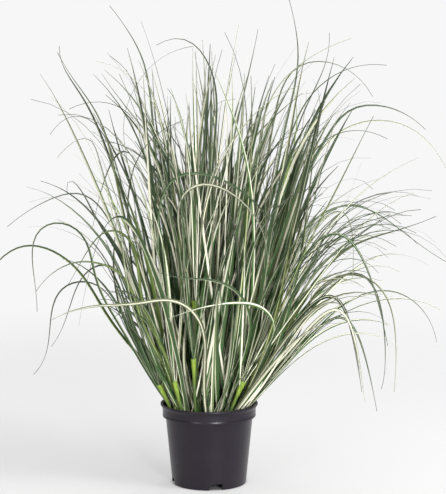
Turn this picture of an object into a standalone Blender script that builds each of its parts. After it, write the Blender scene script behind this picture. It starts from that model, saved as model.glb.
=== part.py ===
"""Potted ornamental grass clump: nursery pot, cast filling, moulded stem cups and long arching blades.

Metres, +Z up. The pot stands on z = 0 with its axis on the Z axis, and the front is towards -Y.
"""

import math
from typing import NamedTuple

import bmesh
import bpy
import numpy as np
from mathutils import Vector

# ---------------------------------------------------------------- driving sizes
GAP = 0.0003  # clearance left between pieces that touch

POT_SEGMENTS = 48
RIM_RADIUS = 0.0750  # over the rolled rim
RIM_TOP = 0.1245
COLLAR_RADIUS = 0.0710
COLLAR_BOTTOM = 0.1045
WALL_TOP_RADIUS = 0.0673  # where the tapered wall meets the collar
FOOT_RADIUS = 0.0570
FOOT_WIDTH = 0.0030  # flat ring that the pot stands on
WALL = 0.0016  # moulded wall thickness
FLOOR_UNDERSIDE = 0.0070

NOTCH_COUNT = 4
NOTCH_FIRST_DEG = -79.0  # the front notch stands a little to the right of the front
NOTCH_WIDTH = 0.0220
NOTCH_TOP_WIDTH = 0.0195
NOTCH_HEIGHT = 0.0095
NOTCH_REACH = 0.0080  # how far a notch runs in from the foot

FILL_TOP = 0.1000
FILL_SEGMENTS = 40
SOCKET_DEPTH = 0.0120

STEM_FOOT_RADIUS = 0.0023
STEM_SIDES = 8
CUP_DEPTH = 0.0140
CUP_LIP = 0.0007

STRIP_SAMPLES = 81
STRIP_STIFFNESS = 3e-10  # how strongly a blade keeps to an even bend between its stated points
BLADE_STATIONS = 20
BLADE_TIP_WIDTH = 0.0010
BLADE_NECK_SHARE = 0.70  # width at the root as a share of the full width
BLADE_NECK_LENGTH = 0.20  # share of the length over which the neck widens
BLADE_TAPER_POWER = 1.8
BLADE_KEEL_SHARE = 0.34  # depth of the folded keel as a share of the width
BLADE_KEEL_LEAST = 0.0006
BLADE_TWIST_DEG = 50.0  # how far a blade's face turns from its root to its tip
TIP_DEPTH_POWER = 1.4  # a blade leans out of its own plane more and more towards its tip


class Finish(NamedTuple):
    """Surface values of one material."""

    colour: tuple
    roughness: float


FINISHES = {
    "pot_plastic": Finish((0.036, 0.034, 0.040), 0.46),
    "cast_filling": Finish((0.018, 0.016, 0.014), 0.95),
    "stem_plastic": Finish((0.38, 0.56, 0.05), 0.45),
    "blade_green": Finish((0.045, 0.105, 0.055), 0.50),
    "blade_cream": Finish((0.56, 0.60, 0.38), 0.50),
    "blade_olive": Finish((0.17, 0.26, 0.07), 0.50),
    "blade_lime": Finish((0.32, 0.50, 0.05), 0.50),
}


class Stem(NamedTuple):
    """A moulded stem that stands in the filling and flares into a cup at its mouth."""

    name: str
    foot: tuple  # x, y on the filling's surface
    mouth: tuple  # x, y, z at the centre of the cup's lip
    radius: float  # over the lip


STEMS = (
    Stem("stem_front_left", (-0.036, -0.045), (-0.052, -0.052, 0.168), 0.0038),
    Stem("stem_front", (-0.020, -0.053), (-0.023, -0.057, 0.203), 0.0038),
    Stem("stem_front_right", (0.024, -0.050), (0.052, -0.057, 0.169), 0.0050),
    Stem("stem_left", (-0.050, -0.026), (-0.075, -0.033, 0.159), 0.0045),
    Stem("stem_tall", (-0.016, -0.036), (-0.022, -0.047, 0.290), 0.0048),
    Stem("stem_back_left", (-0.034, 0.044), (-0.047, 0.062, 0.166), 0.0045),
    Stem("stem_back_right", (0.036, 0.044), (0.052, 0.062, 0.172), 0.0045),
    Stem("stem_right", (0.052, 0.009), (0.070, 0.010, 0.158), 0.0042),
)


class Blade(NamedTuple):
    """One long blade: its root on the filling, how deep its tip lies, and the line that it follows."""

    name: str
    finish: str
    root: tuple  # x, y on the filling's surface
    tip_y: float
    width: float
    turn: float  # degrees that its face is turned from square to its heading
    line: tuple  # (x, z) up the blade, the last at its tip


BLADES = (
    Blade("left_high_dark", "blade_green", (-0.036, 0.004), 0.05, 0.0060, 50, (
        (-0.070, 0.235), (-0.105, 0.345), (-0.135, 0.450), (-0.155, 0.505), (-0.175, 0.555),
        (-0.205, 0.610), (-0.230, 0.650), (-0.230, 0.670))),
    Blade("left_high_olive", "blade_olive", (-0.046, -0.012), -0.03, 0.0045, 60, (
        (-0.075, 0.230), (-0.110, 0.345), (-0.140, 0.475), (-0.150, 0.520), (-0.170, 0.575),
        (-0.195, 0.610), (-0.225, 0.660))),
    Blade("top_left_spear", "blade_green", (-0.022, 0.014), 0.02, 0.0050, 40, (
        (-0.050, 0.265), (-0.070, 0.405), (-0.085, 0.550), (-0.090, 0.595), (-0.100, 0.650),
        (-0.125, 0.695), (-0.150, 0.730))),
    Blade("top_arc_pale", "blade_olive", (-0.030, 0.034), 0.11, 0.0050, -50, (
        (-0.070, 0.245), (-0.110, 0.385), (-0.130, 0.510), (-0.135, 0.550), (-0.125, 0.585),
        (-0.090, 0.640), (-0.025, 0.670))),
    Blade("top_arc_dark", "blade_green", (-0.004, -0.010), -0.10, 0.0060, 30, (
        (0.000, 0.255), (0.005, 0.410), (0.010, 0.550), (0.010, 0.610), (-0.015, 0.665),
        (-0.035, 0.680), (-0.075, 0.670))),
    Blade("top_left_fine", "blade_green", (-0.034, 0.024), 0.08, 0.0040, 35, (
        (-0.070, 0.295), (-0.090, 0.465), (-0.105, 0.570), (-0.115, 0.610), (-0.155, 0.655))),
    Blade("centre_spike_a", "blade_cream", (-0.002, 0.008), -0.02, 0.0050, 60, (
        (0.000, 0.285), (0.010, 0.440), (0.025, 0.580), (0.045, 0.700))),
    Blade("centre_spike_b", "blade_green", (0.008, 0.020), 0.05, 0.0055, -40, (
        (0.020, 0.355), (0.040, 0.540), (0.060, 0.625), (0.075, 0.695))),
    Blade("top_right_spear", "blade_green", (0.020, 0.010), 0.00, 0.0050, -45, (
        (0.065, 0.300), (0.100, 0.465), (0.125, 0.590), (0.135, 0.655), (0.130, 0.695),
        (0.120, 0.740))),
    Blade("right_spear_a", "blade_green", (0.024, 0.026), 0.06, 0.0045, -30, (
        (0.080, 0.340), (0.125, 0.510), (0.160, 0.600), (0.180, 0.645), (0.185, 0.690))),
    Blade("right_long_a", "blade_cream", (0.012, -0.006), -0.05, 0.0045, -60, (
        (0.045, 0.345), (0.075, 0.515), (0.100, 0.605), (0.140, 0.645), (0.210, 0.680))),
    Blade("right_long_b", "blade_green", (0.022, 0.036), 0.12, 0.0050, 45, (
        (0.080, 0.370), (0.125, 0.525), (0.165, 0.600), (0.220, 0.635), (0.280, 0.640))),
    Blade("right_arch_a", "blade_olive", (0.014, 0.046), 0.14, 0.0045, 30, (
        (0.050, 0.275), (0.075, 0.430), (0.105, 0.570), (0.140, 0.640), (0.180, 0.645),
        (0.260, 0.590))),
    Blade("right_arch_b", "blade_green", (0.040, -0.006), -0.02, 0.0055, -50, (
        (0.065, 0.205), (0.110, 0.345), (0.150, 0.480), (0.180, 0.535), (0.210, 0.575), (0.255, 0.580),
        (0.325, 0.545))),
    Blade("right_arch_c", "blade_cream", (0.030, 0.012), 0.08, 0.0050, -40, (
        (0.100, 0.340), (0.155, 0.480), (0.205, 0.540), (0.255, 0.555), (0.370, 0.480))),
    Blade("right_arch_d", "blade_green", (0.030, -0.020), -0.10, 0.0045, 50, (
        (0.090, 0.335), (0.135, 0.475), (0.175, 0.535), (0.200, 0.545), (0.260, 0.535))),
    Blade("right_olive", "blade_olive", (0.047, -0.004), -0.08, 0.0060, -55, (
        (0.090, 0.190), (0.160, 0.315), (0.210, 0.370), (0.270, 0.395), (0.335, 0.420))),
    Blade("right_wide_arc", "blade_green", (0.030, 0.024), 0.06, 0.0045, 40, (
        (0.110, 0.280), (0.155, 0.395), (0.215, 0.425), (0.285, 0.395), (0.370, 0.335))),
    Blade("right_crest", "blade_cream", (0.034, -0.012), -0.05, 0.0050, -35, (
        (0.125, 0.290), (0.165, 0.405), (0.200, 0.425), (0.215, 0.380), (0.215, 0.325))),
    Blade("right_low_a", "blade_green", (0.042, -0.024), -0.12, 0.0065, 55, (
        (0.080, 0.185), (0.135, 0.265), (0.185, 0.300), (0.210, 0.255), (0.225, 0.165))),
    Blade("right_low_b", "blade_cream", (0.038, -0.032), -0.17, 0.0060, 50, (
        (0.090, 0.180), (0.145, 0.250), (0.190, 0.285), (0.215, 0.235), (0.225, 0.160))),
    Blade("right_low_c", "blade_green", (0.040, -0.016), -0.09, 0.0055, 45, (
        (0.100, 0.170), (0.150, 0.230), (0.200, 0.265), (0.230, 0.220), (0.250, 0.130))),
    Blade("right_low_d", "blade_green", (0.042, 0.001), 0.00, 0.0050, -50, (
        (0.125, 0.230), (0.185, 0.310), (0.225, 0.325), (0.265, 0.260), (0.265, 0.145))),
    Blade("right_low_e", "blade_cream", (0.041, 0.017), 0.05, 0.0050, -40, (
        (0.060, 0.140), (0.140, 0.250), (0.195, 0.315), (0.240, 0.315), (0.290, 0.225), (0.290, 0.130))),
    Blade("right_low_faint", "blade_green", (0.036, 0.030), 0.16, 0.0040, 35, (
        (0.058, 0.130), (0.145, 0.205), (0.225, 0.270), (0.295, 0.280), (0.345, 0.245), (0.370, 0.190))),
    Blade("left_straight", "blade_green", (-0.050, -0.022), -0.05, 0.0055, 50, (
        (-0.090, 0.255), (-0.125, 0.345), (-0.155, 0.395), (-0.200, 0.445), (-0.250, 0.470))),
    Blade("left_hook", "blade_green", (-0.050, 0.002), 0.00, 0.0050, -40, (
        (-0.115, 0.285), (-0.150, 0.375), (-0.175, 0.415), (-0.200, 0.460), (-0.215, 0.470),
        (-0.215, 0.445))),
    Blade("left_long", "blade_green", (-0.040, 0.013), 0.06, 0.0045, 40, (
        (-0.075, 0.205), (-0.120, 0.325), (-0.160, 0.410), (-0.200, 0.445), (-0.225, 0.440),
        (-0.265, 0.425), (-0.315, 0.390))),
    Blade("left_bowed", "blade_cream", (-0.036, 0.023), 0.10, 0.0050, -45, (
        (-0.090, 0.245), (-0.130, 0.355), (-0.155, 0.440), (-0.175, 0.495), (-0.185, 0.530),
        (-0.210, 0.520), (-0.240, 0.495))),
    Blade("left_hoop", "blade_green", (-0.044, -0.006), -0.03, 0.0050, 45, (
        (-0.105, 0.190), (-0.150, 0.270), (-0.175, 0.330), (-0.195, 0.390), (-0.225, 0.405),
        (-0.255, 0.395), (-0.265, 0.335), (-0.260, 0.270))),
    Blade("left_big_arc", "blade_olive", (-0.048, 0.008), 0.04, 0.0050, -50, (
        (-0.080, 0.160), (-0.165, 0.270), (-0.205, 0.330), (-0.240, 0.355), (-0.280, 0.365), (-0.320, 0.345),
        (-0.350, 0.300), (-0.365, 0.245))),
    Blade("left_olive", "blade_olive", (-0.052, -0.034), -0.13, 0.0055, 55, (
        (-0.065, 0.185), (-0.105, 0.280), (-0.130, 0.335), (-0.155, 0.350), (-0.195, 0.355),
        (-0.220, 0.345), (-0.250, 0.315))),
    Blade("left_drop", "blade_olive", (-0.046, -0.038), -0.16, 0.0050, 40, (
        (-0.075, 0.230), (-0.105, 0.355), (-0.120, 0.395), (-0.145, 0.405), (-0.170, 0.380),
        (-0.200, 0.330))),
    Blade("left_low_a", "blade_green", (-0.048, 0.019), 0.12, 0.0050, -35, (
        (-0.095, 0.215), (-0.130, 0.300), (-0.160, 0.330), (-0.180, 0.325), (-0.220, 0.265),
        (-0.255, 0.190))),
    Blade("left_low_b", "blade_green", (-0.040, 0.034), 0.17, 0.0040, 40, (
        (-0.058, 0.140), (-0.135, 0.235), (-0.180, 0.295), (-0.220, 0.295), (-0.260, 0.205),
        (-0.290, 0.135))),
    Blade("left_fine_a", "blade_green", (-0.030, 0.030), 0.14, 0.0040, -30, (
        (-0.075, 0.245), (-0.125, 0.400), (-0.155, 0.505), (-0.190, 0.555), (-0.210, 0.560),
        (-0.255, 0.530))),
    Blade("left_fine_b", "blade_olive", (-0.014, 0.032), 0.15, 0.0040, 30, (
        (-0.045, 0.230), (-0.080, 0.385), (-0.100, 0.505), (-0.135, 0.570), (-0.160, 0.580),
        (-0.195, 0.580), (-0.225, 0.570))),
    Blade("front_cream_a", "blade_cream", (0.000, -0.050), -0.20, 0.0065, 60, (
        (-0.005, 0.225), (-0.015, 0.270), (-0.050, 0.300), (-0.095, 0.300), (-0.150, 0.300),
        (-0.220, 0.285))),
    Blade("front_cream_b", "blade_cream", (0.030, -0.040), -0.22, 0.0065, -60, (
        (0.080, 0.220), (0.095, 0.265), (0.080, 0.290), (0.055, 0.300), (-0.010, 0.300),
        (-0.055, 0.290))),
    Blade("front_green", "blade_green", (0.020, -0.034), -0.15, 0.0055, 50, (
        (0.060, 0.235), (0.060, 0.275), (0.050, 0.300), (0.020, 0.325), (-0.030, 0.335),
        (-0.070, 0.345))),
    Blade("front_cream_arc", "blade_cream", (-0.014, -0.030), -0.15, 0.0065, -55, (
        (-0.035, 0.245), (-0.040, 0.385), (-0.035, 0.455), (-0.010, 0.470), (0.035, 0.455),
        (0.070, 0.420), (0.085, 0.360))),
    Blade("front_green_arc", "blade_green", (-0.026, -0.014), -0.09, 0.0055, 45, (
        (-0.065, 0.270), (-0.075, 0.410), (-0.050, 0.475), (0.035, 0.465), (0.090, 0.415),
        (0.120, 0.370))),
    Blade("centre_lime", "blade_lime", (0.026, 0.006), -0.06, 0.0060, 40, (
        (0.065, 0.255), (0.095, 0.410), (0.115, 0.475), (0.130, 0.550), (0.125, 0.610))),
)


class Fall(NamedTuple):
    """A blade that arches straight away from the pot, for the clump's back and front."""

    name: str
    finish: str
    heading_deg: float  # 90 is straight back
    root_radius: float
    reach: float
    crest: float
    tip: float  # height of the tip
    width: float


FALLS = (
    Fall("back_right_arch", "blade_green", 58.0, 0.050, 0.330, 0.470, 0.330, 0.0055),
    Fall("back_arch", "blade_cream", 82.0, 0.050, 0.335, 0.520, 0.400, 0.0055),
    Fall("back_low_arch", "blade_green", 102.0, 0.056, 0.330, 0.330, 0.170, 0.0060),
    Fall("back_left_arch", "blade_olive", 128.0, 0.046, 0.320, 0.500, 0.370, 0.0055),
    Fall("front_right_arch", "blade_green", -40.0, 0.057, 0.330, 0.400, 0.250, 0.0060),
    Fall("front_low_arch", "blade_cream", -86.0, 0.057, 0.332, 0.330, 0.240, 0.0060),
    Fall("front_left_arch", "blade_green", -122.0, 0.060, 0.330, 0.430, 0.290, 0.0060),
)
FALL_RISE = (0.22, 0.66)  # a fall's rising point, as shares of its way out and of its crest's height
FALL_CREST_SHARE = 0.62  # of its reach
FALL_TURN_DEG = 20.0


# ---------------------------------------------------------------- scene and finishes
def clear_scene():
    """Remove every object."""
    for obj in list(bpy.data.objects):
        bpy.data.objects.remove(obj, do_unlink=True)


def finish_material(name):
    """The material of one finish, made once."""
    material = bpy.data.materials.get(name)
    if material is None:
        finish = FINISHES[name]
        material = bpy.data.materials.new(name)
        material.use_nodes = True
        shader = material.node_tree.nodes["Principled BSDF"]
        shader.inputs["Base Color"].default_value = (*finish.colour, 1.0)
        shader.inputs["Roughness"].default_value = finish.roughness
        material.diffuse_color = (*finish.colour, 1.0)
    return material


def new_object(name, mesh, finish=None):
    """Link a mesh to the scene, with its finish."""
    obj = bpy.data.objects.new(name, mesh)
    bpy.context.collection.objects.link(obj)
    if finish:
        mesh.materials.append(finish_material(finish))
    return obj


def mesh_from(name, shape, sharp_deg=None):
    """Turn a bmesh into a mesh with outward faces, shaded smooth if a sharp angle is given."""
    bmesh.ops.recalc_face_normals(shape, faces=shape.faces)
    mesh = bpy.data.meshes.new(name)
    shape.to_mesh(mesh)
    shape.free()
    if sharp_deg is not None:
        mesh.shade_smooth()
        mesh.set_sharp_from_angle(angle=math.radians(sharp_deg))
    return mesh


def turned_mesh(name, profile, segments):
    """Spin a closed outline of (radius, height) points about the Z axis."""
    shape = bmesh.new()
    points = [shape.verts.new((radius, 0.0, height)) for radius, height in profile]
    edges = [shape.edges.new(pair) for pair in zip(points, points[1:])]
    bmesh.ops.spin(
        shape,
        geom=points + edges,
        cent=(0.0, 0.0, 0.0),
        axis=(0.0, 0.0, 1.0),
        angle=math.tau,
        steps=segments,
        use_merge=True,
    )
    bmesh.ops.remove_doubles(shape, verts=shape.verts, dist=1e-6)
    return mesh_from(name, shape, sharp_deg=35.0)


def cut(target, cutter):
    """Take the cutter's volume out of the target."""
    cutter.hide_render = True
    cutter.display_type = "WIRE"
    modifier = target.modifiers.new(cutter.name, "BOOLEAN")
    modifier.operation = "DIFFERENCE"
    modifier.solver = "EXACT"
    modifier.object = cutter


# ---------------------------------------------------------------- pot and filling
def wall_radius(height):
    """Outer radius of the tapered wall at a height."""
    return FOOT_RADIUS + (WALL_TOP_RADIUS - FOOT_RADIUS) * height / COLLAR_BOTTOM


def pot_profile():
    """Outline of the pot's wall and floor, from the centre of its underside round to the floor's top."""
    foot_edge = 0.0008  # small chamfer at the foot
    rim_lip = RIM_RADIUS - 0.0052  # inner edge of the rolled rim
    floor_top = FLOOR_UNDERSIDE + WALL
    inner_foot = FOOT_RADIUS - FOOT_WIDTH
    underside = [(0.0, FLOOR_UNDERSIDE), (inner_foot, FLOOR_UNDERSIDE), (inner_foot, 0.0)]
    outer = [
        (FOOT_RADIUS - foot_edge, 0.0),
        (wall_radius(foot_edge), foot_edge),
        (wall_radius(COLLAR_BOTTOM), COLLAR_BOTTOM),
        (COLLAR_RADIUS + 0.0006, COLLAR_BOTTOM - 0.0002),
        (COLLAR_RADIUS + 0.0013, COLLAR_BOTTOM + 0.0016),
        (COLLAR_RADIUS + 0.0004, COLLAR_BOTTOM + 0.0036),
        (COLLAR_RADIUS, COLLAR_BOTTOM + 0.0060),
        (COLLAR_RADIUS + 0.0005, RIM_TOP - 0.0066),
        (RIM_RADIUS - 0.0006, RIM_TOP - 0.0046),
        (RIM_RADIUS, RIM_TOP - 0.0026),
        (RIM_RADIUS - 0.0005, RIM_TOP - 0.0007),
        (RIM_RADIUS - 0.0020, RIM_TOP),
    ]
    inner = [
        (rim_lip, RIM_TOP - 0.0008),
        (COLLAR_RADIUS - WALL, RIM_TOP - 0.0060),
        (COLLAR_RADIUS - WALL, COLLAR_BOTTOM + 0.0020),
        (wall_radius(COLLAR_BOTTOM) - WALL, COLLAR_BOTTOM - 0.0010),
        (wall_radius(floor_top) - WALL, floor_top),
        (0.0, floor_top),
    ]
    return underside + outer + inner


def notch_cutter(index):
    """A wedge that cuts one drain notch through the foot, narrower at its top."""
    below = -0.002
    half = NOTCH_WIDTH / 2
    half_top = NOTCH_TOP_WIDTH / 2
    outline = [(-half, below), (half, below), (half_top, NOTCH_HEIGHT), (-half_top, NOTCH_HEIGHT)]
    shape = bmesh.new()
    near = [shape.verts.new((FOOT_RADIUS - NOTCH_REACH, y, z)) for y, z in outline]
    face = shape.faces.new(near)
    swept = bmesh.ops.extrude_face_region(shape, geom=[face])["geom"]
    far = [item for item in swept if isinstance(item, bmesh.types.BMVert)]
    bmesh.ops.translate(shape, verts=far, vec=(2 * NOTCH_REACH, 0.0, 0.0))
    cutter = new_object(f"notch_cutter_{index + 1}", mesh_from("notch_cutter", shape))
    cutter.rotation_euler.z = math.radians(NOTCH_FIRST_DEG + 360.0 / NOTCH_COUNT * index)
    return cutter


def build_pot():
    """The nursery pot, with drain notches round its foot."""
    pot = new_object("pot", turned_mesh("pot", pot_profile(), POT_SEGMENTS), "pot_plastic")
    for index in range(NOTCH_COUNT):
        cut(pot, notch_cutter(index))
    return pot


def build_filling():
    """The cast plug that fills the pot up to just under its collar, with a socket for each stem."""
    bottom = FLOOR_UNDERSIDE + WALL + GAP
    edge = FILL_TOP - 0.0020
    profile = [
        (0.0, bottom),
        (wall_radius(bottom) - WALL - GAP, bottom),
        (wall_radius(edge) - WALL - GAP, edge),
        (wall_radius(edge) - WALL - 0.0030, FILL_TOP),
        (0.0, FILL_TOP),
    ]
    filling = new_object("filling", turned_mesh("filling", profile, FILL_SEGMENTS), "cast_filling")
    for stem in STEMS:
        cut(filling, socket_cutter(stem))
    return filling


# ---------------------------------------------------------------- stems
def stem_axis(stem):
    """The stem's foot on the filling's surface, and the unit vector from there up to its mouth."""
    foot = Vector((*stem.foot, FILL_TOP))
    return foot, (Vector(stem.mouth) - foot).normalized()


def aim(obj, origin, axis):
    """Place an object modelled along +Z at an origin, pointing along an axis."""
    obj.location = origin
    obj.rotation_mode = "QUATERNION"
    obj.rotation_quaternion = Vector((0.0, 0.0, 1.0)).rotation_difference(axis)


def socket_cutter(stem):
    """The round hole in the filling that a stem stands in."""
    foot, axis = stem_axis(stem)
    radius = STEM_FOOT_RADIUS + GAP
    bottom = -SOCKET_DEPTH - GAP
    profile = [(0.0, bottom), (radius, bottom), (radius, SOCKET_DEPTH), (0.0, SOCKET_DEPTH)]
    cutter = new_object(f"{stem.name}_socket", turned_mesh("socket", profile, STEM_SIDES))
    aim(cutter, foot, axis)
    return cutter


def build_stem(stem):
    """A stem that swells up to a hollow cup, turned about its own axis."""
    foot, axis = stem_axis(stem)
    length = (Vector(stem.mouth) - foot).length
    flare = length - 0.030
    profile = [
        (0.0, -SOCKET_DEPTH),
        (STEM_FOOT_RADIUS, -SOCKET_DEPTH),
        (STEM_FOOT_RADIUS, SOCKET_DEPTH),
        (STEM_FOOT_RADIUS * 1.1, flare),
        (stem.radius * 0.86, length - 0.008),
        (stem.radius, length),
        (stem.radius - CUP_LIP, length),
        (STEM_FOOT_RADIUS * 0.7, length - CUP_DEPTH),
        (0.0, length - CUP_DEPTH),
    ]
    obj = new_object(stem.name, turned_mesh(stem.name, profile, STEM_SIDES), "stem_plastic")
    aim(obj, foot, axis)
    return obj


# ---------------------------------------------------------------- blades
def bent_strip(points):
    """The line that a springy strip takes past its stated points.

    The line is STRIP_SAMPLES points. It is the least-squares answer that stays near each stated point,
    holds both ends, and changes its bend as little as it can (the third differences are kept small).
    """
    stated = np.array(points)
    run = np.concatenate([[0.0], np.cumsum(np.linalg.norm(np.diff(stated, axis=0), axis=1))])
    place = run / run[-1] * (STRIP_SAMPLES - 1)
    below = np.minimum(place.astype(int), STRIP_SAMPLES - 2)
    share = place - below
    rows = np.arange(len(stated))
    nearness = np.zeros((len(stated), STRIP_SAMPLES))
    nearness[rows, below] = 1.0 - share
    nearness[rows, below + 1] = share
    hold = np.ones((len(stated), 1))
    hold[[0, -1]] = 1000.0
    bending = np.diff(np.eye(STRIP_SAMPLES), 3, axis=0) * (STRIP_SAMPLES - 1) ** 3
    left = np.vstack([nearness * hold, math.sqrt(STRIP_STIFFNESS) * bending])
    right = np.vstack([stated * hold, np.zeros((len(bending), 3))])
    return np.linalg.lstsq(left, right, rcond=None)[0]


def at_stations(line, count):
    """The same line as evenly spaced points."""
    run = np.concatenate([[0.0], np.cumsum(np.linalg.norm(np.diff(line, axis=0), axis=1))])
    wanted = np.linspace(0.0, run[-1], count)
    return np.stack([np.interp(wanted, run, line[:, axis]) for axis in range(3)], axis=1)


def unit(vectors):
    """Vectors scaled to length 1."""
    return vectors / np.linalg.norm(vectors, axis=-1, keepdims=True)


def face_directions(line, turn_deg):
    """Across-the-blade and out-of-the-keel directions at each station, turning slowly up the blade."""
    along = unit(np.gradient(line, axis=0))
    heading = unit(line[-1, :2] - line[0, :2])
    level = np.array([-heading[1], heading[0], 0.0])
    across = unit(level - (along @ level)[:, None] * along)
    out = np.cross(along, across)
    angle = np.radians(turn_deg + BLADE_TWIST_DEG * np.linspace(0.0, 1.0, len(line)))[:, None]
    return (
        across * np.cos(angle) + out * np.sin(angle),
        out * np.cos(angle) - across * np.sin(angle),
    )


def blade_mesh(name, points, width, turn_deg):
    """A keeled strip along a line: a shallow triangle across, a narrow neck and a long taper to the tip."""
    line = at_stations(bent_strip(points), BLADE_STATIONS)
    across, out = face_directions(line, turn_deg)
    share = np.linspace(0.0, 1.0, BLADE_STATIONS)
    neck = BLADE_NECK_SHARE + (1.0 - BLADE_NECK_SHARE) * np.minimum(share / BLADE_NECK_LENGTH, 1.0)
    wide = np.maximum(width * neck * (1.0 - share**BLADE_TAPER_POWER), BLADE_TIP_WIDTH)[:, None]
    keel = np.maximum(wide * BLADE_KEEL_SHARE, BLADE_KEEL_LEAST)
    rings = np.stack([line - across * wide / 2, line + across * wide / 2, line + out * keel], axis=1)
    rings[0, :, 2] = line[0, 2]
    first = 3 * np.arange(BLADE_STATIONS - 1)
    sides = [
        (int(a + i), int(a + (i + 1) % 3), int(a + 3 + (i + 1) % 3), int(a + 3 + i))
        for a in first
        for i in range(3)
    ]
    last = 3 * (BLADE_STATIONS - 1)
    mesh = bpy.data.meshes.new(name)
    mesh.from_pydata(rings.reshape(-1, 3).tolist(), [], sides + [(0, 2, 1), (last, last + 1, last + 2)])
    shape = bmesh.new()
    shape.from_mesh(mesh)
    bpy.data.meshes.remove(mesh)
    return mesh_from(name, shape)


def blade_points(blade):
    """A blade's points in space: its depth grows from its root to its tip."""
    flat = np.array([(blade.root[0], FILL_TOP + GAP), *blade.line])
    run = np.concatenate([[0.0], np.cumsum(np.linalg.norm(np.diff(flat, axis=0), axis=1))])
    depth = blade.root[1] + (blade.tip_y - blade.root[1]) * (run / run[-1]) ** TIP_DEPTH_POWER
    return np.stack([flat[:, 0], depth, flat[:, 1]], axis=1)


def fall_points(fall):
    """Root, rising point, crest and tip of a blade that arches straight out."""
    heading = math.radians(fall.heading_deg)
    away = np.array([math.cos(heading), math.sin(heading)])
    shares = np.array([0.0, FALL_RISE[0], FALL_CREST_SHARE, 1.0])
    out = fall.root_radius + shares * (fall.reach - fall.root_radius)
    high = np.array([FILL_TOP + GAP, FALL_RISE[1] * fall.crest, fall.crest, fall.tip])
    return np.column_stack([out * away[0], out * away[1], high])


def build_blades():
    """Every blade, as its own object."""
    for blade in BLADES:
        mesh = blade_mesh(blade.name, blade_points(blade), blade.width, blade.turn)
        new_object(f"blade_{blade.name}", mesh, blade.finish)
    for fall in FALLS:
        mesh = blade_mesh(fall.name, fall_points(fall), fall.width, FALL_TURN_DEG)
        new_object(f"blade_{fall.name}", mesh, fall.finish)


def main():
    """Clear the scene and build the clump."""
    clear_scene()
    build_pot()
    build_filling()
    for stem in STEMS:
        build_stem(stem)
    build_blades()


main()
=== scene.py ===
"""Looks of the potted ornamental grass clump: printed blades, moulded stem cups, nursery pot and studio.

Metres, +Z up, with the front towards -Y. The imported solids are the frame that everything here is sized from.
"""

from __future__ import annotations

import logging
import math
from dataclasses import dataclass
from enum import Enum
from functools import partial

import bpy
import numpy as np
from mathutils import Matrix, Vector


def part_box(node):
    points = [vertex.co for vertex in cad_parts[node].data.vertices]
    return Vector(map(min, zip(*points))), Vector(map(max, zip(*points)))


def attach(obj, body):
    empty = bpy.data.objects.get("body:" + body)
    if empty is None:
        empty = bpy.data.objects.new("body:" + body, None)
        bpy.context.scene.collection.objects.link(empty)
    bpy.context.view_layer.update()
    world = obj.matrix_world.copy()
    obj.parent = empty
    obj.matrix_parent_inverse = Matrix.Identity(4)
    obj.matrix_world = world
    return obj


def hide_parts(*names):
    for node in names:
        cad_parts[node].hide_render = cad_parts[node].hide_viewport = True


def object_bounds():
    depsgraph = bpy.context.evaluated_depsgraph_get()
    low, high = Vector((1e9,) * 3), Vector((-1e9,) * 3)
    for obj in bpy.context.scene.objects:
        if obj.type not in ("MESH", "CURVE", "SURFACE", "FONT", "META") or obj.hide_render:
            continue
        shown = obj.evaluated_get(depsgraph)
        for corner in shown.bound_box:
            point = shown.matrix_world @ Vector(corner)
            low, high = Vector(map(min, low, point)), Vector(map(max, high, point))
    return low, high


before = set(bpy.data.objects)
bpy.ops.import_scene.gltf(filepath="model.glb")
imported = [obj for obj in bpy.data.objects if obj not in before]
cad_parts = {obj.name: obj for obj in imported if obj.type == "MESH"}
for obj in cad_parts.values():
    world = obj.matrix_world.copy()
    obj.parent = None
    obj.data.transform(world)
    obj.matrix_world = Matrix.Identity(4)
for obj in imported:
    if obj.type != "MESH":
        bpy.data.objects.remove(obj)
CAD_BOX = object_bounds()

LOG = logging.getLogger("grass_clump")
MM = 0.001

Colour = tuple[float, float, float, float]


# ---------------------------------------------------------------- small tools
def linear(hex_colour: str) -> Colour:
    """Turn an sRGB hex colour into linear light.

    Args:
        hex_colour: colour such as "#2f4d38".

    Returns:
        Linear red, green and blue with an alpha of 1.
    """
    coded = np.array([int(hex_colour[i : i + 2], 16) for i in (1, 3, 5)]) / 255.0
    light = np.where(coded <= 0.04045, coded / 12.92, ((coded + 0.055) / 1.055) ** 2.4)
    return (float(light[0]), float(light[1]), float(light[2]), 1.0)


def add_node(
    tree: bpy.types.NodeTree, kind: str, inputs: dict | None = None, **settings: object
) -> bpy.types.Node:
    """Add one shader node with its settings, values and links.

    Args:
        tree: node tree that takes the node.
        kind: Blender's type name of the node.
        inputs: what feed() takes.
        settings: the node's own settings.

    Returns:
        The new node.
    """
    node = tree.nodes.new(kind)
    for name, value in settings.items():
        setattr(node, name, value)
    feed(tree, node, inputs or {})
    return node


def feed(tree: bpy.types.NodeTree, node: bpy.types.Node, inputs: dict) -> None:
    """Set or link a node's inputs.

    Args:
        tree: the node's tree.
        node: the node that is fed.
        inputs: input name or index to a value, to an output socket, or to a node, whose first output
            is then meant.
    """
    for key, value in inputs.items():
        source = value.outputs[0] if isinstance(value, bpy.types.Node) else value
        if isinstance(source, bpy.types.NodeSocket):
            tree.links.new(source, node.inputs[key])
        else:
            node.inputs[key].default_value = value


def new_material(name: str) -> tuple[bpy.types.Material, bpy.types.NodeTree, bpy.types.Node]:
    """Make an empty Principled material.

    Args:
        name: material name.

    Returns:
        The material, its node tree and its Principled shader.
    """
    material = bpy.data.materials.new(name)
    material.use_nodes = True
    tree = material.node_tree
    return material, tree, tree.nodes["Principled BSDF"]


def unit(vectors: np.ndarray) -> np.ndarray:
    """Scale the vectors on the last axis to length 1."""
    return vectors / np.linalg.norm(vectors, axis=-1, keepdims=True)


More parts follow.
